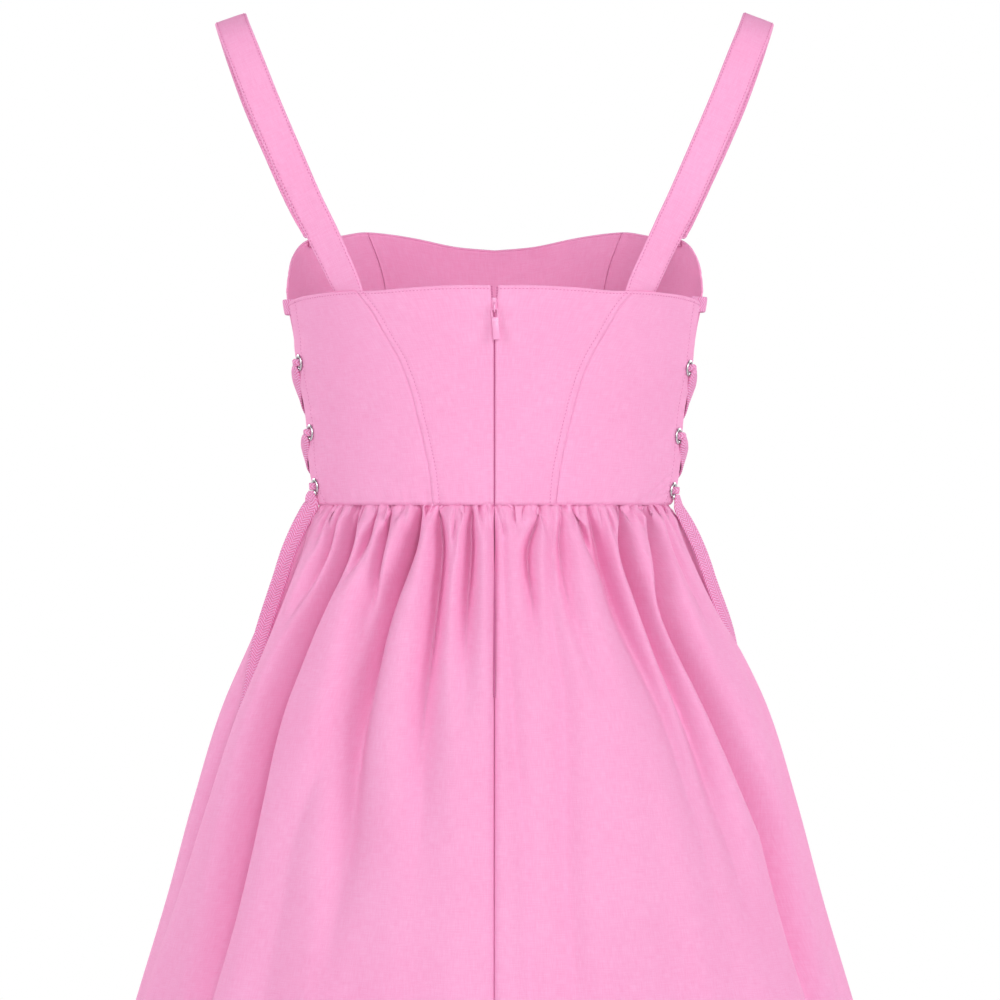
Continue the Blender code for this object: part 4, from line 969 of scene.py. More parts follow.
# ---------------------------------------------------------------- stitches
StitchRing = namedtuple("StitchRing", "along size lift")
STITCH_RINGS = (
    StitchRing(0.00, 0.2, -0.00020), StitchRing(0.22, 1.0, 0.00004),
    StitchRing(0.78, 1.0, 0.00004), StitchRing(1.00, 0.2, -0.00020),
)
STITCH_SIDES = 5
STITCH_LOOK = 0.0005


def stitch_rings(points, normals):
    """Rings of points for the separate stitches of one line."""
    distance = path_distances(points)
    starts = np.arange(STITCH_PITCH / 2, distance[-1] - STITCH_LENGTH, STITCH_PITCH)
    rings = []
    for ring in STITCH_RINGS:
        at = starts + ring.along * STITCH_LENGTH
        middle = on_path(at, distance, points)
        out = unit(on_path(at, distance, normals))
        ahead = on_path(at + STITCH_LOOK, distance, points)
        behind = on_path(at - STITCH_LOOK, distance, points)
        side = unit(np.cross(out, ahead - behind))
        turn = 2 * math.pi * np.arange(STITCH_SIDES) / STITCH_SIDES
        round_side = side[:, None, :] * np.cos(turn)[None, :, None]
        round_out = out[:, None, :] * np.sin(turn)[None, :, None]
        reach = (round_side + round_out * 0.8) * STITCH_RADIUS * ring.size
        rings.append((middle + out * ring.lift)[:, None, :] + reach)
    return np.stack(rings, axis=1)


def stitch_piece(name, lines, material):
    """One piece with all the stitches of several lines of points and directions."""
    rings = np.concatenate([stitch_rings(points, normals) for points, normals in lines])
    count, levels, sides = rings.shape[:3]
    faces = quads(levels, sides, closed=True)
    offsets = np.arange(count) * levels * sides
    every = (faces[None, :, :] + offsets[:, None, None]).reshape(-1, 4)
    mesh = bpy.data.meshes.new(name)
    mesh.from_pydata(rings.reshape(-1, 3).tolist(), [], every.tolist())
    return finish_piece(mesh, name, material, "pink_cotton")


# ---------------------------------------------------------------- bodice
BODICE_ROWS = 84
BUST_DEPTH = 0.007
BUST_DEGREES = 36
BUST_SPREAD_DEGREES = 17
BUST_Z = -0.213
BUST_SPREAD_Z = 0.032


def bust_relief(theta, z):
    across = (180 - np.degrees(theta) - BUST_DEGREES) / BUST_SPREAD_DEGREES
    up = (z - BUST_Z) / BUST_SPREAD_Z
    cups = BUST_DEPTH * np.exp(-across ** 2 - up ** 2)
    return np.where(theta > math.pi / 2, cups, 0.0)


def zip_half_gap(z):
    """Half the opening between the back edges, which spreads above the zip's slider."""
    return mix(ZIP_MOUTH, ZIP_GAP, smoothstep(-BACK_TOP[0].z, -ZIP_MOUTH_Z, -z))


def zip_edge(z):
    return BODICE.theta_at_x(zip_half_gap(z), z, BACK)


def back_seam_edge(z):
    return BODICE.theta_at_x(back_seam(z), z, BACK)


def front_seam_edge(z):
    return BODICE.theta_at_x(front_seam(z), z, FRONT)


def side_edge_back(z):
    return BODICE.theta_at_inset(side_gap(z), z, BACK)


def side_edge_front(z):
    return BODICE.theta_at_inset(side_gap(z), z, FRONT)


def front_middle(z):
    return np.full_like(z, math.pi)


def back_top_at(theta):
    return back_top(np.degrees(theta))


def front_top_at(theta):
    return front_top(180 - np.degrees(theta))


def waves(place, periods, phases):
    """An irregular ripple from a few sine waves, about -1 to 1."""
    parts = [np.sin(2 * math.pi * place / period + phase)
             for period, phase in zip(periods, phases)]
    return sum(parts) / len(parts)


def seam_dip(distance):
    """The turned edge of a panel dips into its seam."""
    return -0.0006 * bell(distance, 0.0010)


def pucker(distance, along, reach, size, seed):
    """Small puckers that a seam pulls into the cloth beside it."""
    ripple = waves(along, (0.0071, 0.0113, 0.0187), (seed, seed * 1.7, seed * 2.9))
    return size * ripple * np.exp(-distance / reach)


def bodice_sheet(start, end, top, columns, side, outward, relief):
    """A panel between two edge functions of the height, hung from its top edge."""
    across = graded(columns, 0.75)[None, :]
    down = graded(BODICE_ROWS, 0.80)[:, None]
    high = np.full_like(across, BACK_TOP[0].z)
    for _ in range(2):
        high = top(mix(start(high), end(high), across))
    z = mix(high, WAIST_Z, down)
    theta = mix(start(z), end(z), across)
    base = BODICE.point(theta, z, bust_relief(theta, z), side)
    from_start = arc_lengths(base, 1)
    from_end = from_start[:, -1:] - from_start
    from_top = arc_lengths(base, 0)
    from_waist = from_top[-1:] - from_top
    out = bust_relief(theta, z) + relief(from_start, from_end, from_top, from_waist)
    return Sheet(BODICE.point(theta, z, out, side), outward)


def edge_roll(distance):
    """A folded free edge rounds over and sits a little proud."""
    return 0.00025 * bell(distance - 0.0022, 0.0018) - 0.0005 * bell(distance, 0.0008)


def stitch_furrow(distance, inset):
    return -0.00034 * bell(distance - inset, 0.0008)


def waist_relief(from_waist, along, seed):
    dip = -0.0012 * bell(from_waist, 0.0012)
    return dip + pucker(from_waist, along, 0.0090, 0.0010, seed)


def top_relief(from_top, along, seed):
    ripple = pucker(np.abs(from_top - TOP_STITCH_INSET), along, 0.003, 0.00012, seed)
    return edge_roll(from_top) + stitch_furrow(from_top, TOP_STITCH_INSET) + ripple


def slack(from_start, from_top, seed):
    """Very shallow unevenness of the cloth between seams."""
    first = waves(from_start + 0.6 * from_top, (0.061, 0.043), (seed, 2.2 * seed))
    second = waves(from_top - 0.3 * from_start, (0.083, 0.037), (1.3 * seed, 0.4 * seed))
    return 0.00045 * first * second


def back_centre_relief(seed):
    def relief(from_start, from_end, from_top, from_waist):
        out = edge_roll(from_start) + seam_dip(from_end)
        out = out + stitch_furrow(from_end, PRINCESS_STITCH_INSET)
        out = out + pucker(np.abs(from_end - PRINCESS_STITCH_INSET), from_top, 0.005, 0.00028, seed)
        out = out + waist_relief(from_waist, from_start, seed)
        return out + top_relief(from_top, from_start, seed) + slack(from_start, from_top, seed)
    return relief


def pull_relief(from_edge, from_waist, pulls):
    """Wrinkles that the laces pull into the cloth beside the eyelets."""
    out = 0 * from_edge
    for pull in pulls:
        along = from_edge - pull.start
        distance = from_waist - pull.height + pull.slope * along
        ends = smoothstep(0, 0.3 * pull.length, along) * (
            1 - smoothstep(0.3 * pull.length, pull.length, along))
        out = out - pull.depth * ends * bell(distance, pull.width)
        out = out + 0.6 * pull.depth * ends * bell(distance - 1.8 * pull.width, pull.width)
    return out


def side_panel_relief(seed, pulls=()):
    """For a panel whose first column is its free laced edge or its princess seam."""
    def relief(from_start, from_end, from_top, from_waist):
        out = seam_dip(from_start) + edge_roll(from_end)
        out = out + stitch_furrow(from_end, PLACKET_STITCH_INSET)
        out = out + pucker(from_start, from_top, 0.006, 0.00030, seed)
        out = out + pull_relief(from_end, from_waist, pulls)
        out = out + waist_relief(from_waist, from_start, seed)
        return out + top_relief(from_top, from_start, seed) + slack(from_start, from_top, seed)
    return relief


def front_side_relief(seed):
    inner = side_panel_relief(seed)

    def relief(from_start, from_end, from_top, from_waist):
        return inner(from_end, from_start, from_top, from_waist)
    return relief


def front_centre_relief(from_start, from_end, from_top, from_waist):
    out = seam_dip(from_start)
    out = out + stitch_furrow(from_start, PRINCESS_STITCH_INSET)
    out = out + waist_relief(from_waist, from_start, 1.9)
    return out + top_relief(from_top, from_start, 1.9)


def side_point(inset, z, out, side):
    """A point by the side line: inset is positive behind it and negative before it."""
    body = BODICE if z > WAIST_Z else SKIRT
    face = BACK if inset >= 0 else FRONT
    theta = body.theta_at_inset(abs(inset), z, face)
    return body.point(theta, z, out, side)


def side_axes(inset, z, side):
    """Directions by the side line: backwards along the cloth, up, and out of it."""
    step = 0.0005
    here = side_point(inset, z, 0, side)
    along = unit(side_point(inset + step, z, 0, side) - here)
    up = unit(side_point(inset, z + step, 0, side) - here)
    out = unit(side_point(inset, z, 0.01, side) - here)
    return along, up, out


def eyelet_z(row, side):
    return row.left_z if side == LEFT else row.right_z


def eyelet_matrix(row, face, side):
    """Where an eyelet sits: its middle on the cloth, with Z out of the cloth."""
    z = eyelet_z(row, side)
    theta = float(BODICE.theta_at_inset(row.inset, z, face))
    middle = Vector(BODICE.point(theta, z, 0, side))
    across = Vector(BODICE.point(theta + 0.01, z, 0, side)) - middle
    down = Vector(BODICE.point(theta, z - 0.002, 0, side)) - middle
    out = across.cross(down).normalized()
    if out.dot(Vector((middle.x, middle.y, 0))) < 0:
        out = -out
    return Matrix.Translation(middle) @ out.to_track_quat("Z", "Y").to_matrix().to_4x4()


def hole_cutter(matrix):
    bm = bmesh.new()
    bmesh.ops.create_cone(bm, cap_ends=True, segments=32, radius1=CLOTH_HOLE,
                          radius2=CLOTH_HOLE, depth=0.012)
    mesh = bpy.data.meshes.new("cutter")
    bm.to_mesh(mesh)
    bm.free()
    cutter = bpy.data.objects.new("cutter", mesh)
    cutter.matrix_world = matrix
    cutter.hide_render = True
    bpy.context.scene.collection.objects.link(cutter)
    return cutter


RingPoint = namedtuple("RingPoint", "radius out")
EYELET_PROFILE = (
    RingPoint(EYELET_RIM, 0.0003), RingPoint(0.0061, 0.0007), RingPoint(0.0057, 0.0011),
    RingPoint(0.0052, 0.00125), RingPoint(0.0046, 0.0012), RingPoint(0.0041, 0.0009),
    RingPoint(0.0038, 0.0004), RingPoint(EYELET_HOLE, -0.0003),
    RingPoint(EYELET_HOLE, -0.0027), RingPoint(0.0039, -0.0030),
    RingPoint(0.0046, -0.0030), RingPoint(0.0053, -0.0027), RingPoint(0.0053, -0.0024),
    RingPoint(0.0041, -0.0024), RingPoint(0.0041, 0.0003),
)
EYELET_SEGMENTS = 40


def add_eyelet(row, number, face, side, material):
    turn = 2 * math.pi * np.arange(EYELET_SEGMENTS) / EYELET_SEGMENTS
    radius = np.array([at.radius for at in EYELET_PROFILE])
    out = np.array([at.out for at in EYELET_PROFILE])
    points = np.stack((radius[None, :] * np.cos(turn)[:, None],
                       radius[None, :] * np.sin(turn)[:, None],
                       np.broadcast_to(out, (len(turn), len(out)))), axis=-1)
    closed = np.concatenate((points, points[:1]))
    rows, columns = closed.shape[:2]
    faces = quads(rows, columns, closed=True)
    faces = faces % (EYELET_SEGMENTS * columns)
    name = f"eyelet_{face}_{side_name(side)}_{number}"
    mesh = bpy.data.meshes.new(name)
    mesh.from_pydata(points.reshape(-1, 3).tolist(), [], faces.tolist())
    fix_facing(mesh)
    mesh.transform(eyelet_matrix(row, face, side))
    finish_piece(mesh, f"{name}_metal", material, "silver_metal", name)


def add_bodice(looks):
    """The seven bodice panels. Returns them by name for their stitches."""
    sheets = {}
    for side in (LEFT, RIGHT):
        name = side_name(side)
        seed = 1.3 if side == LEFT else 2.6
        sheets[f"back_centre_{name}"] = bodice_sheet(
            zip_edge, back_seam_edge, back_top_at, 60, side, (0, 1, 0), back_centre_relief(seed))
        sheets[f"back_side_{name}"] = bodice_sheet(
            back_seam_edge, side_edge_back, back_top_at, 66, side, (side, 1, 0),
            side_panel_relief(seed, BACK_PULLS[side]))
        sheets[f"front_side_{name}"] = bodice_sheet(
            side_edge_front, front_seam_edge, front_top_at, 66, side, (side, -1, 0),
            front_side_relief(seed))
    halves = [bodice_sheet(front_seam_edge, front_middle, front_top_at, 46, side, (0, -1, 0),
                           front_centre_relief) for side in (LEFT, RIGHT)]
    joined = np.concatenate((halves[0].points, halves[1].points[:, ::-1][:, 1:]), axis=1)
    sheets["front_centre"] = Sheet(joined, (0, -1, 0))
    for name, sheet in sheets.items():
        cutters = []
        for side in (LEFT, RIGHT):
            for face in (BACK, FRONT):
                if name == f"{face}_side_{side_name(side)}":
                    cutters = [hole_cutter(eyelet_matrix(row, face, side)) for row in EYELETS]
        piece = cloth_piece(sheet, name, SEAM_CLOTH, looks["cotton"], cutters)
        declare_sheet(sheet)
    for side in (LEFT, RIGHT):
        for face in (BACK, FRONT):
            for number, row in enumerate(EYELETS, 1):
                add_eyelet(row, number, face, side, looks["metal"])
    return sheets


def add_bodice_stitches(sheets, looks):
    lines = []
    for side in ("left", "right"):
        centre, back, front = (sheets[f"{part}_{side}"]
                               for part in ("back_centre", "back_side", "front_side"))
        lines.append(centre.line("right", PRINCESS_STITCH_INSET))
        lines.append(back.line("right", PLACKET_STITCH_INSET))
        lines.append(front.line("left", PLACKET_STITCH_INSET))
        lines += [sheet.line("top", TOP_STITCH_INSET) for sheet in (centre, back, front)]
    middle = sheets["front_centre"]
    lines.append(middle.line("top", TOP_STITCH_INSET))
    lines += [middle.line(edge, PRINCESS_STITCH_INSET) for edge in ("left", "right")]
    stitch_piece("bodice_stitches", lines, looks["thread"])


# ---------------------------------------------------------------- straps
def strap_end(face, side, drop, out):
    """The inner and outer corner of a strap by the bodice's top edge."""
    degrees = STRAP_BACK_DEGREES if face == BACK else STRAP_FRONT_DEGREES
    top = back_top if face == BACK else front_top
    corners = []
    for angle in degrees:
        theta = np.array(math.radians(angle if face == BACK else 180 - angle))
        z = top(angle) - drop
        corners.append(BODICE.point(theta, z, out + bust_relief(theta, z), side))
    return corners


def strap_tape(side):
    middles, acrosses, widths = [], [], []

    def add_corners(inner, outer):
        middles.append((inner + outer) / 2)
        acrosses.append(unit(outer - inner))
        widths.append(np.linalg.norm(outer - inner))

    add_corners(*strap_end(BACK, side, STRAP_SUNK, STRAP_SUNK_OUT))
    add_corners(*strap_end(BACK, side, -STRAP_LIP, STRAP_LIP_OUT))
    for row in STRAP:
        middles.append(np.array((row.x * side, row.y, row.z)))
        acrosses.append(unit(np.array((row.across_x * side, row.across_y, row.across_z))))
        widths.append(STRAP_WIDTH)
    add_corners(*strap_end(FRONT, side, -STRAP_LIP, STRAP_LIP_OUT))
    add_corners(*strap_end(FRONT, side, STRAP_SUNK, STRAP_SUNK_OUT))
    return Tape(np.array(middles), np.array(acrosses), widths, STRAP_CLOTH, STRAP_SPACING)


def strap_ripple(along, across):
    """The stitching draws both edges of the strap in, and leaves small puckers."""
    edge = np.abs(across)[None, :] - 0.85
    wave = waves(along, (0.0083, 0.0137, 0.031), (0.4, 1.9, 3.1))[:, None]
    slow = waves(along, (0.071, 0.113), (0.9, 2.3))[:, None]
    swell = STRAP_SWELL * slow * np.sign(across)[None, :] * across ** 2
    return STRAP_PUCKER * wave * bell(edge, 0.22) + swell


def add_straps(looks):
    lines = []
    for side in (LEFT, RIGHT):
        name = f"strap_{side_name(side)}"
        tape = strap_tape(side)
        mesh = tape.mesh(name, ripple=strap_ripple)
        piece = finish_piece(mesh, f"{name}_cloth", looks["cotton"], "pink_cotton", name)
        length = tape.length()
        along = path_distances(tape.middles)
        for edge in (-STRAP_STITCH_PLACE, STRAP_STITCH_PLACE):
            shift = strap_ripple(along, np.array([edge]))
            for face in (1, -1):
                rise = tape.normals * (shift + face * STRAP_CLOTH / 2)
                points = tape.middles + tape.acrosses * edge * tape.widths[:, None] / 2 + rise
                kept = slice(STRAP_STITCH_ENDS, -STRAP_STITCH_ENDS)
                lines.append((points[kept], tape.normals[kept] * face))
    stitch_piece("strap_stitches", lines, looks["thread"])


# ---------------------------------------------------------------- skirt
BACK_COLUMNS, BACK_ROWS = 300, 108
FRONT_COLUMNS, FRONT_ROWS = 170, 88
ROW_POWER = 1.7


def crease_share(crease):
    """The share of the half width at which a crease lies, as a function of the height."""
    places = (crease.waist, crease.upper, crease.middle, crease.lower, crease.hem)
    return Curve([Knot(z, place) for z, place in zip(CREASE_HEIGHTS, places)], "key", "value")


def crease_length(crease):
    return WAIST_Z - crease.end


def crease_relief(crease, signed, z):
    """How far one crease draws the cloth in."""
    share = np.clip(crease_share(crease)(z), -0.999, 0.999)
    middle = np.arcsin(share)
    radius = np.hypot(SKIRT.back_half(z) * np.cos(middle), SKIRT.back_depth(z) * np.sin(middle))
    below = WAIST_Z - z
    width = crease.width * crease_width(below)
    lingering = CREASE_LINGER * smoothstep(*LONG_CREASE, crease_length(crease))
    fade = 1 - smoothstep(-crease.hold, lingering - crease.end, -z)
    distance = (signed - middle) * radius
    return crease.depth * crease_depth(below) * fade * np.exp(-np.abs(distance / width) ** CREASE_POWER)


def tiny_gathers(seed, creases):
    """Small irregular gathers that die out close below the waist seam, between the creases."""
    random = np.random.default_rng(seed)
    gathers = []
    for number in range(TINY_GATHERS):
        step = number + random.uniform(*GATHER_JITTER)
        place = -GATHER_SPAN + 2 * GATHER_SPAN * step / TINY_GATHERS
        share = math.sin(place * math.radians(GATHER_FAN_DEGREES))
        ranges = (GATHER_REACH, GATHER_DEPTH, GATHER_WIDTH, GATHER_LEAN, GATHER_SLANT)
        gather = Gather(share, *(random.uniform(*limits) for limits in ranges))
        if min(abs(share - crease.waist) for crease in creases) > GATHER_CLEAR:
            gathers.append(gather)
    return gathers


def gather_relief(gather, signed, z):
    """How far one small gather draws the cloth in."""
    below = WAIST_Z - z
    middle = math.asin(gather.share) + gather.slant * below / SKIRT.back_half(z)
    distance = (signed - middle) * SKIRT.back_half(z)
    width = gather.width * (1 + below / gather.reach)
    grown = smoothstep(-0.0006, 0.0018, below)
    fade = 1 - smoothstep(0.2 * gather.reach, gather.reach, below)
    return gather.depth * grown * fade * np.exp(-np.abs(distance / width) ** GATHER_POWER)


def side_valley(theta, z, side):
    """The hollow beside the side seam."""
    middle = np.arccos(VALLEY_INSET[side](z) / SKIRT.back_depth(z))
    distance = (theta - middle) * SKIRT.back_depth(z)
    rear = valley_rear(z) * (1.0 if side == LEFT else RIGHT_REAR_SHARE)
    width = np.where(distance < 0, rear, valley_front(z))
    return valley_depth(z) * bell(distance, width)


def hem_wave(turn, z, side):
    swing = np.sin(9 * turn + 0.9 * side) + 0.6 * np.sin(14 * turn + 2.1 * side)
    return HEM_WAVE * smoothstep(0.150, 0.500, WAIST_Z - z) * swing


def drape(signed, z):
    """Broad shallow swells between the creases."""
    below = WAIST_Z - z
    fan = waves(signed, (0.47, 0.29, 0.19), (0.7, 2.1, 4.0))
    return DRAPE_DEPTH * smoothstep(0.02, 0.10, below) * fan


SeamCrease = namedtuple("SeamCrease", "below depth width")
CENTRE_CREASE = (
    SeamCrease(0.000, 0.0016, 0.0016), SeamCrease(0.006, 0.0060, 0.0028),
    SeamCrease(0.030, 0.0110, 0.0042), SeamCrease(0.090, 0.0100, 0.0042),
    SeamCrease(0.135, 0.0058, 0.0032), SeamCrease(0.200, 0.0043, 0.0027),
    SeamCrease(0.550, 0.0034, 0.0027),
)
centre_crease_depth = Curve(CENTRE_CREASE, "below", "depth")
centre_crease_width = Curve(CENTRE_CREASE, "below", "width")


def centre_seam(signed, z):
    """The back panels' edges turn in at the centre seam, deepest just below the waist."""
    distance = np.abs(signed) * SKIRT.back_half(z)
    below = WAIST_Z - z
    profile = np.exp(-np.abs(distance / centre_crease_width(below)) ** 1.3)
    return centre_crease_depth(below) * profile


def skirt_sheet(side, face, creases, gathers):
    columns, rows = (BACK_COLUMNS, BACK_ROWS) if face == BACK else (FRONT_COLUMNS, FRONT_ROWS)
    across = graded(columns, 0.35)[None, :]
    down = np.linspace(0.0, 1.0, rows + 1)[:, None] ** ROW_POWER
    z = mix(WAIST_Z - SKIRT_TOP_GAP, HEM_Z, down)
    z = np.concatenate(([[WAIST_Z + TOP_ROW_UP]], z)) + 0 * across
    start = SKIRT_SEAM_GAP / SKIRT.back_half(z) if face == BACK else np.full_like(z, math.pi)
    end = SKIRT.theta_at_inset(np.maximum(side_gap(z), 0.0), z, face)
    theta = mix(start, end, across)
    turn = theta if face == BACK else math.pi - theta
    signed = turn * side
    out = GATHER_PUFF * smoothstep(0.000, 0.012, WAIST_Z - z) + drape(signed, z)
    shift = 0.0 * z
    for crease in creases:
        relief = crease_relief(crease, signed, z)
        out = out - relief
        shift = shift + CREASE_SHEAR * crease.lean * relief
    for gather in gathers:
        relief = gather_relief(gather, signed, z)
        out = out - relief
        shift = shift + gather.lean * relief
    if face == BACK:
        out = out - centre_seam(signed, z)
    seam = np.minimum(turn, np.abs(theta - math.pi / 2)) * SKIRT.back_depth(z)
    out = out + hem_wave(turn, z, side) * smoothstep(0.0, 0.030, seam) - side_valley(theta, z, side)
    out = out - WAIST_TUCK * bell(WAIST_Z - z, WAIST_TUCK_REACH)
    out[0] = np.minimum(out[0], 0.0) - TOP_ROW_IN
    outward = (side, 1, 0) if face == BACK else (0, -1, 0)
    along = side if face == BACK else -side
    turned = theta + along * shift / SKIRT.back_depth(z) * smoothstep(0.0, 0.012, seam)
    return Sheet(SKIRT.point(turned, z, out, side), outward)


def add_skirt(looks):
    back_gathers = tiny_gathers(11, BACK_CREASES)
    front_gathers = tiny_gathers(23, FRONT_CREASES)
    sheets = {}
    for side in (LEFT, RIGHT):
        sheets[f"skirt_back_{side_name(side)}"] = skirt_sheet(side, BACK, BACK_CREASES, back_gathers)
    halves = [skirt_sheet(side, FRONT, FRONT_CREASES, front_gathers).points for side in (LEFT, RIGHT)]
    joined = np.concatenate((halves[0][:, ::-1], halves[1][:, 1:]), axis=1)
    sheets["skirt_front"] = Sheet(joined, (0, -1, 0))
    for name, sheet in sheets.items():
        piece = cloth_piece(sheet, name, SKIRT_CLOTH, looks["cotton"])
        declare_sheet(sheet)
    lines = [sheet.line("low", HEM_STITCH_INSET) for sheet in sheets.values()]
    stitch_piece("hem_stitches", lines, looks["thread"])


# ---------------------------------------------------------------- laces
def through_hole(inset, z, side):
    rows = []
    for row in HOLE_TURN:
        place = inset - math.copysign(LACE_TURN, inset) * row.shift
        out = mix(LACE_BEHIND, LACE_CLEAR, row.share)
        _, up, _ = side_axes(place, z, side)
        rows.append((side_point(place, z, out, side), up, LACE_BUNCHED))
    return rows


def crossing(from_inset, from_z, to_inset, to_z, over, side):
    rows = []
    for row in CROSSING:
        inset = mix(from_inset, to_inset, row.share ** CROSSING_BOW)
        z = mix(from_z, to_z, row.share ** CROSSING_DROP)
        along, up, out_way = side_axes(inset, z, side)
        lean = math.radians(row.lean) * math.copysign(1, from_inset)
        across = unit(up * math.cos(lean) - along * math.sin(lean))
        out = row.under
        if over:
            tilt = math.radians(row.tilt)
            across = unit(across * math.cos(tilt) + out_way * math.sin(tilt))
            out = row.over * LOOSENESS[side] if row.over > 0 else row.over
        rows.append((side_point(inset, z, out, side), across, row.width))
    return rows


def lace_start(sign, side):
    first = EYELETS[0]
    z = eyelet_z(first, side)
    rows = []
    places = [(inset, LACE_HALF_FOLDED) for inset in LACE_START_INSETS]
    places.append((first.inset - LACE_BUNCHED_BEFORE, LACE_BUNCHED))
    for inset, width in places:
        _, up, _ = side_axes(sign * inset, z, side)
        rows.append((side_point(sign * inset, z, LACE_BEHIND, side), up, width))
    return rows


def held_lace(start_face, side):
    """Half a lace: from inside, between the top eyelets, down to the lowest eyelet."""
    sign = 1 if start_face == BACK else -1
    first = EYELETS[0]
    rows = lace_start(sign, side)
    rows += through_hole(sign * first.inset, eyelet_z(first, side), side)
    for upper, lower in zip(EYELETS, EYELETS[1:]):
        over = (start_face == BACK) == (upper is first)
        rows += crossing(sign * (upper.inset - LACE_TURN), eyelet_z(upper, side),
                         -sign * (lower.inset - LACE_TURN), eyelet_z(lower, side), over, side)
        sign = -sign
        rows += through_hole(sign * lower.inset, eyelet_z(lower, side), side)
    return rows


front_tail_inset = Curve(FRONT_TAIL, "drop", "inset")
TAIL_STEPS = 26
TAIL_SPACING_POWER = 1.25
TAIL_EASE = (0.010, 0.040)


def tail_inset(face, side, z, drop):
    """How far a hanging end lies behind the side line, or before it for a front end."""
    if face == FRONT:
        return -float(front_tail_inset(drop))
    start = EYELETS[-1].inset + TAIL_SHIFT
    return mix(start, float(VALLEY_INSET[side](z)), smoothstep(*TAIL_EASE, -drop))


def tail_rows(face, side):
    """A hanging lace end, from the lowest eyelet down the outside of the skirt."""
    table = BACK_TAIL if face == BACK else FRONT_TAIL
    turn_name = f"{side_name(side)}_turn"
    curves = {name: Curve(table, "drop", name) for name in ("out", turn_name, "width")}
    sign = 1 if face == BACK else -1
    places = []
    for step in range(TAIL_STEPS + 1):
        share = (step / TAIL_STEPS) ** TAIL_SPACING_POWER
        drop = mix(table[0].drop, table[-1].drop, share)
        z = eyelet_z(EYELETS[-1], side) + drop
        inset = tail_inset(face, side, z, drop)
        places.append((drop, z, inset, side_point(inset, z, curves["out"](drop), side)))
    middles = np.array([place[3] for place in places])
    ways = unit(np.gradient(middles, axis=0))
    rows = []
    for (drop, z, inset, middle), down in zip(places, ways):
        along, _, out_way = side_axes(inset, z, side)
        turn = math.radians(curves[turn_name](drop)) * sign
        across = along * math.cos(turn) - out_way * math.sin(turn)
        across = unit(across - down * np.dot(across, down))
        rows.append((middle, across * side, curves["width"](drop)))
    return rows


def lace_bar_rows(side):
    """The short tape that holds the top of a side opening together."""
    ahead = [BarRow(-row.inset, row.out) for row in reversed(LACE_BAR[:-1])]
    rows = []
    for row in list(LACE_BAR) + ahead:
        _, up, _ = side_axes(row.inset, LACE_BAR_Z[side], side)
        out = row.out * LOOSENESS[side] if row.out > 0 else row.out
        rows.append((side_point(row.inset, LACE_BAR_Z[side], out, side), up, LACE_BAR_WIDTH))
    return rows


def lace_piece(name, rows, looks):
    middles, acrosses, widths = (np.array(column, float) for column in zip(*rows))
    tape = Tape(middles, acrosses, widths, LACE_CLOTH, LACE_SPACING)
    mesh = tape.mesh(name, crown=LACE_CROWN)
    return finish_piece(mesh, f"{name}_braid", looks["braid"], "pink_tape", name), tape


def add_laces(looks):
    for side in (LEFT, RIGHT):
        name = side_name(side)
        for face in (BACK, FRONT):
            piece, tape = lace_piece(f"tail_{face}_{name}", tail_rows(face, side), looks)
            tape.length()
        lace_piece(f"lace_bar_{name}", lace_bar_rows(side), looks)
        lace_piece(f"lace_{name}_a", held_lace(BACK, side), looks)
        lace_piece(f"lace_{name}_b", held_lace(FRONT, side), looks)


# ---------------------------------------------------------------- zip
ZIP_TAPE_WIDTH = 0.0085
ZIP_TAPE_CLOTH = 0.0008
ZIP_TAPE_COLUMNS = 7
ZIP_TAPE_LAP = 0.0002
ZIP_TAPE_LEAST = 0.0004
COIL_PITCH = 0.00115
COIL_RADIUS = 0.00032
COIL_REACH = 0.0011
COIL_BEHIND = -0.0012
SLIDER_CORE = (0.0034, 0.0032, 0.0080)
SLIDER_CORE_PLACE = (0, -0.0016, 0.0027)
SLIDER_PLATE = (0.0058, 0.0011, 0.0080)
SLIDER_PLATE_OUT = -0.0042
SLIDER_STEM = (0.0011, 0.0056, 0.0040)
SLIDER_STEM_OUT = -0.0012
CORE_ROUNDING, PLATE_ROUNDING, STEM_ROUNDING = 0.0006, 0.0004, 0.0003
BRIDGE_RADIUS = 0.00065
BRIDGE_PATH = ((0.0, 0.0006, 0.0030), (0.0, 0.0036, 0.0018), (0.0, 0.0044, -0.0005),
               (0.0, 0.0040, -0.0028), (0.0, 0.0012, -0.0034))
ARCH_OUT = 0.0026
PULL_AXIS_DOWN = 0.0015
PULL_TILT_DEGREES = 4.5
PULL_RING_HALF = 0.00215
PULL_RING_RADIUS = 0.00058
PULL_RING_LENGTH = 0.0062
PULL_PLATE = (0.0050, 0.0012, 0.0156)
PULL_PLATE_DROP = 0.0140
PULL_PANEL = (0.0032, 0.0015, 0.0118)
PULL_PANEL_DROP = 0.0008
PULL_ROUNDING, PANEL_ROUNDING = 0.0005, 0.0003
PULL_RING_CORNER = 0.0013
ZIP_TOP_Z = -0.2006
ZIP_WAIST_GAP = 0.0004
ZIP_BODICE_STEPS, ZIP_SKIRT_STEPS = 90, 70
# The tapes follow the back's curve: an ellipse of this half width and depth.
ZIP_BEND_HALF, ZIP_BEND_DEPTH = 0.150, 0.090
COIL_TOP_Z = -0.2012
COIL_END_LIFT = 0.004
COIL_OPEN_REACH, COIL_CLOSED_REACH = 0.0012, 0.0003
COIL_TURN_IN = 0.0004


def slider_matrix():
    """The slider's place on the centre back, leaning with the cloth."""
    here, above, below = (Vector(BODICE.point(0.0, SLIDER_Z + step)) for step in (0, 0.004, -0.004))
    lean = math.atan2(above.y - below.y, above.z - below.z)
    return Matrix.Translation(here) @ Matrix.Rotation(-lean, 4, "X")


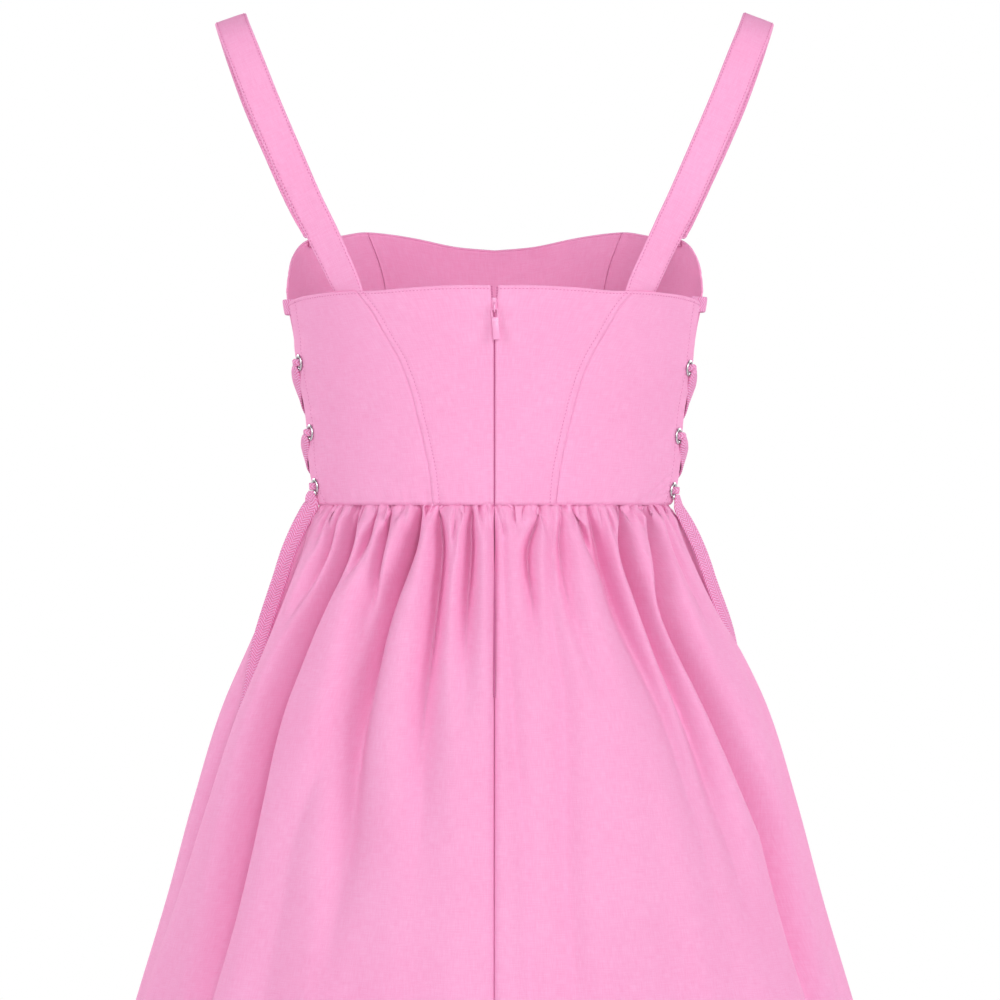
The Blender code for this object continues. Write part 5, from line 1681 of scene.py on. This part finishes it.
def rounded_box(bm, size, middle, radius):
    made = bmesh.ops.create_cube(bm, size=1.0)["verts"]
    bmesh.ops.scale(bm, vec=Vector(size), verts=made)
    bmesh.ops.translate(bm, vec=Vector(middle), verts=made)
    edges = list({edge for vert in made for edge in vert.link_edges})
    bmesh.ops.bevel(bm, geom=made + edges, offset=radius, segments=4, profile=0.5,
                    affect="EDGES")


def round_bar(bm, path, radius, sides=12, closed=False):
    """A round bar along a path of points."""
    points = np.array(path, float)
    if not closed:
        points = smooth_track(points, 6 * len(points))
        along = unit(np.gradient(points, axis=0))
    else:
        along = unit(np.roll(points, -1, axis=0) - np.roll(points, 1, axis=0))
    guide = np.array((1.0, 0.0, 0.0)) if abs(along[:, 0]).max() < 0.5 else np.array((0.0, 1.0, 0.0))
    first = unit(np.cross(along, guide))
    second = np.cross(along, first)
    rings = []
    for point, side, up in zip(points, first, second):
        turn = [2 * math.pi * k / sides for k in range(sides)]
        rings.append([bm.verts.new(point + (side * math.cos(a) + up * math.sin(a)) * radius)
                      for a in turn])
    pairs = list(zip(rings, rings[1:])) + ([(rings[-1], rings[0])] if closed else [])
    for low, high in pairs:
        for k in range(sides):
            bm.faces.new((low[k], low[(k + 1) % sides], high[(k + 1) % sides], high[k]))
    if not closed:
        bm.faces.new(rings[0])
        bm.faces.new(rings[-1])


def solid_mesh(bm, name, matrix):
    bmesh.ops.recalc_face_normals(bm, faces=bm.faces[:])
    mesh = bpy.data.meshes.new(name)
    bm.to_mesh(mesh)
    bm.free()
    mesh.transform(matrix)
    return mesh


def add_slider(looks):
    bm = bmesh.new()
    rounded_box(bm, SLIDER_CORE, SLIDER_CORE_PLACE, CORE_ROUNDING)
    rounded_box(bm, SLIDER_PLATE, (0, SLIDER_PLATE_OUT, 0), PLATE_ROUNDING)
    rounded_box(bm, SLIDER_STEM, (0, SLIDER_STEM_OUT, 0), STEM_ROUNDING)
    round_bar(bm, BRIDGE_PATH, BRIDGE_RADIUS)
    mesh = solid_mesh(bm, "slider", slider_matrix())
    finish_piece(mesh, "zip_slider_body", looks["enamel"], "pink_enamel", "zip_slider")


def pull_ring():
    """The ring at the pull's top, a rounded rectangle across the back."""
    corner = PULL_RING_CORNER
    half, length = PULL_RING_HALF, PULL_RING_LENGTH
    points = []
    for x, z, start in ((half, 0, 0), (-half, 0, 90), (-half, -length, 180), (half, -length, 270)):
        middle_x = x - math.copysign(corner, x)
        middle_z = z - corner if z == 0 else z + corner
        for step in range(7):
            turn = math.radians(start + 15 * step)
            points.append((middle_x + corner * math.cos(turn), 0,
                           middle_z + corner * math.sin(turn)))
    return points


def add_pull(looks):
    bm = bmesh.new()
    round_bar(bm, pull_ring(), PULL_RING_RADIUS, closed=True)
    rounded_box(bm, PULL_PLATE, (0, 0, -PULL_PLATE_DROP), PULL_ROUNDING)
    rounded_box(bm, PULL_PANEL, (0, 0, -PULL_PLATE_DROP - PULL_PANEL_DROP), PANEL_ROUNDING)
    axis = slider_matrix() @ Vector((0, ARCH_OUT, -PULL_AXIS_DOWN))
    tilt = Matrix.Rotation(math.radians(PULL_TILT_DEGREES), 4, "Y")
    mesh = solid_mesh(bm, "pull", Matrix.Translation(axis) @ tilt)
    pull = finish_piece(mesh, "zip_pull_tab", looks["enamel"], "pink_enamel", "zip_pull")
    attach(pull, PULL_TAB)


def zip_rows():
    """Heights of the zip and the depth of the cloth's outer face along the centre back."""
    heights = np.concatenate((
        np.linspace(ZIP_TOP_Z, WAIST_Z + ZIP_WAIST_GAP, ZIP_BODICE_STEPS),
        np.linspace(WAIST_Z - ZIP_WAIST_GAP, ZIP_END_Z, ZIP_SKIRT_STEPS)))
    faces = np.where(heights > WAIST_Z, BODICE.back_depth(heights),
                     SKIRT.back_depth(heights) - centre_seam(0.0, heights))
    return heights, faces


def add_zip_tapes(looks):
    heights, faces = zip_rows()
    inner = np.maximum(zip_half_gap(heights) - ZIP_TAPE_LAP, ZIP_TAPE_LEAST)
    for side in (LEFT, RIGHT):
        across = np.linspace(0.0, 1.0, ZIP_TAPE_COLUMNS)[None, :]
        x = mix(inner[:, None], ZIP_TAPE_WIDTH, across) * side
        deeper = np.where(heights > WAIST_Z, ZIP_BEHIND, SEAM_CLOTH + 2 * ZIP_TAPE_CLOTH)
        bend = 1 - np.sqrt(1 - (x / ZIP_BEND_HALF) ** 2)
        y = (faces - deeper)[:, None] - bend * ZIP_BEND_DEPTH
        z = heights[:, None] + 0 * x
        sheet = Sheet(np.stack((x, y, z), axis=-1), (0, 1, 0))
        name = f"zip_tape_{side_name(side)}"
        piece = finish_piece(sheet.mesh(name), f"{name}_cloth", looks["cotton"], "pink_tape", name)
        wall = piece.modifiers.new("wall", "SOLIDIFY")
        wall.thickness = ZIP_TAPE_CLOTH
        wall.offset = 0.0


def add_coil(looks):
    """The coil's turns along both tape edges, meshed below the slider and apart above it."""
    bm = bmesh.new()
    heights = np.arange(ZIP_END_Z + COIL_END_LIFT, COIL_TOP_Z, COIL_PITCH / 2)
    rows, faces = zip_rows()
    for number, z in enumerate(heights):
        side = LEFT if number % 2 else RIGHT
        depth = np.interp(-z, -rows, faces) + COIL_BEHIND
        inner = float(zip_half_gap(z)) - COIL_OPEN_REACH if z > SLIDER_Z else -COIL_CLOSED_REACH
        start = Vector((side * inner, depth, z))
        end = Vector((side * (inner + COIL_REACH), depth - COIL_TURN_IN, z))
        round_bar(bm, [start, (start + end) / 2, end], COIL_RADIUS, sides=6)
    mesh = solid_mesh(bm, "coil", Matrix())
    finish_piece(mesh, "zip_coil_turns", looks["coil"], "pink_enamel")


def add_zip(looks):
    add_zip_tapes(looks)
    add_coil(looks)
    add_slider(looks)
    add_pull(looks)


# ---------------------------------------------------------------- main
def make_looks():
    return {
        "cotton": cotton_material("pink_cotton_weave", COTTON),
        "braid": tape_material("pink_braid", TAPE, 0.0022, 0.9),
        "thread": thread_material(),
        "metal": metal_material(),
        "enamel": enamel_material(),
        "coil": coil_material(),
    }


def main():
    make_camera()
    looks = make_looks()
    add_laces(looks)
    sheets = add_bodice(looks)
    add_bodice_stitches(sheets, looks)
    add_straps(looks)
    add_skirt(looks)
    add_zip(looks)
    make_world()
    make_lights()
    make_floor()
    set_view()


main()
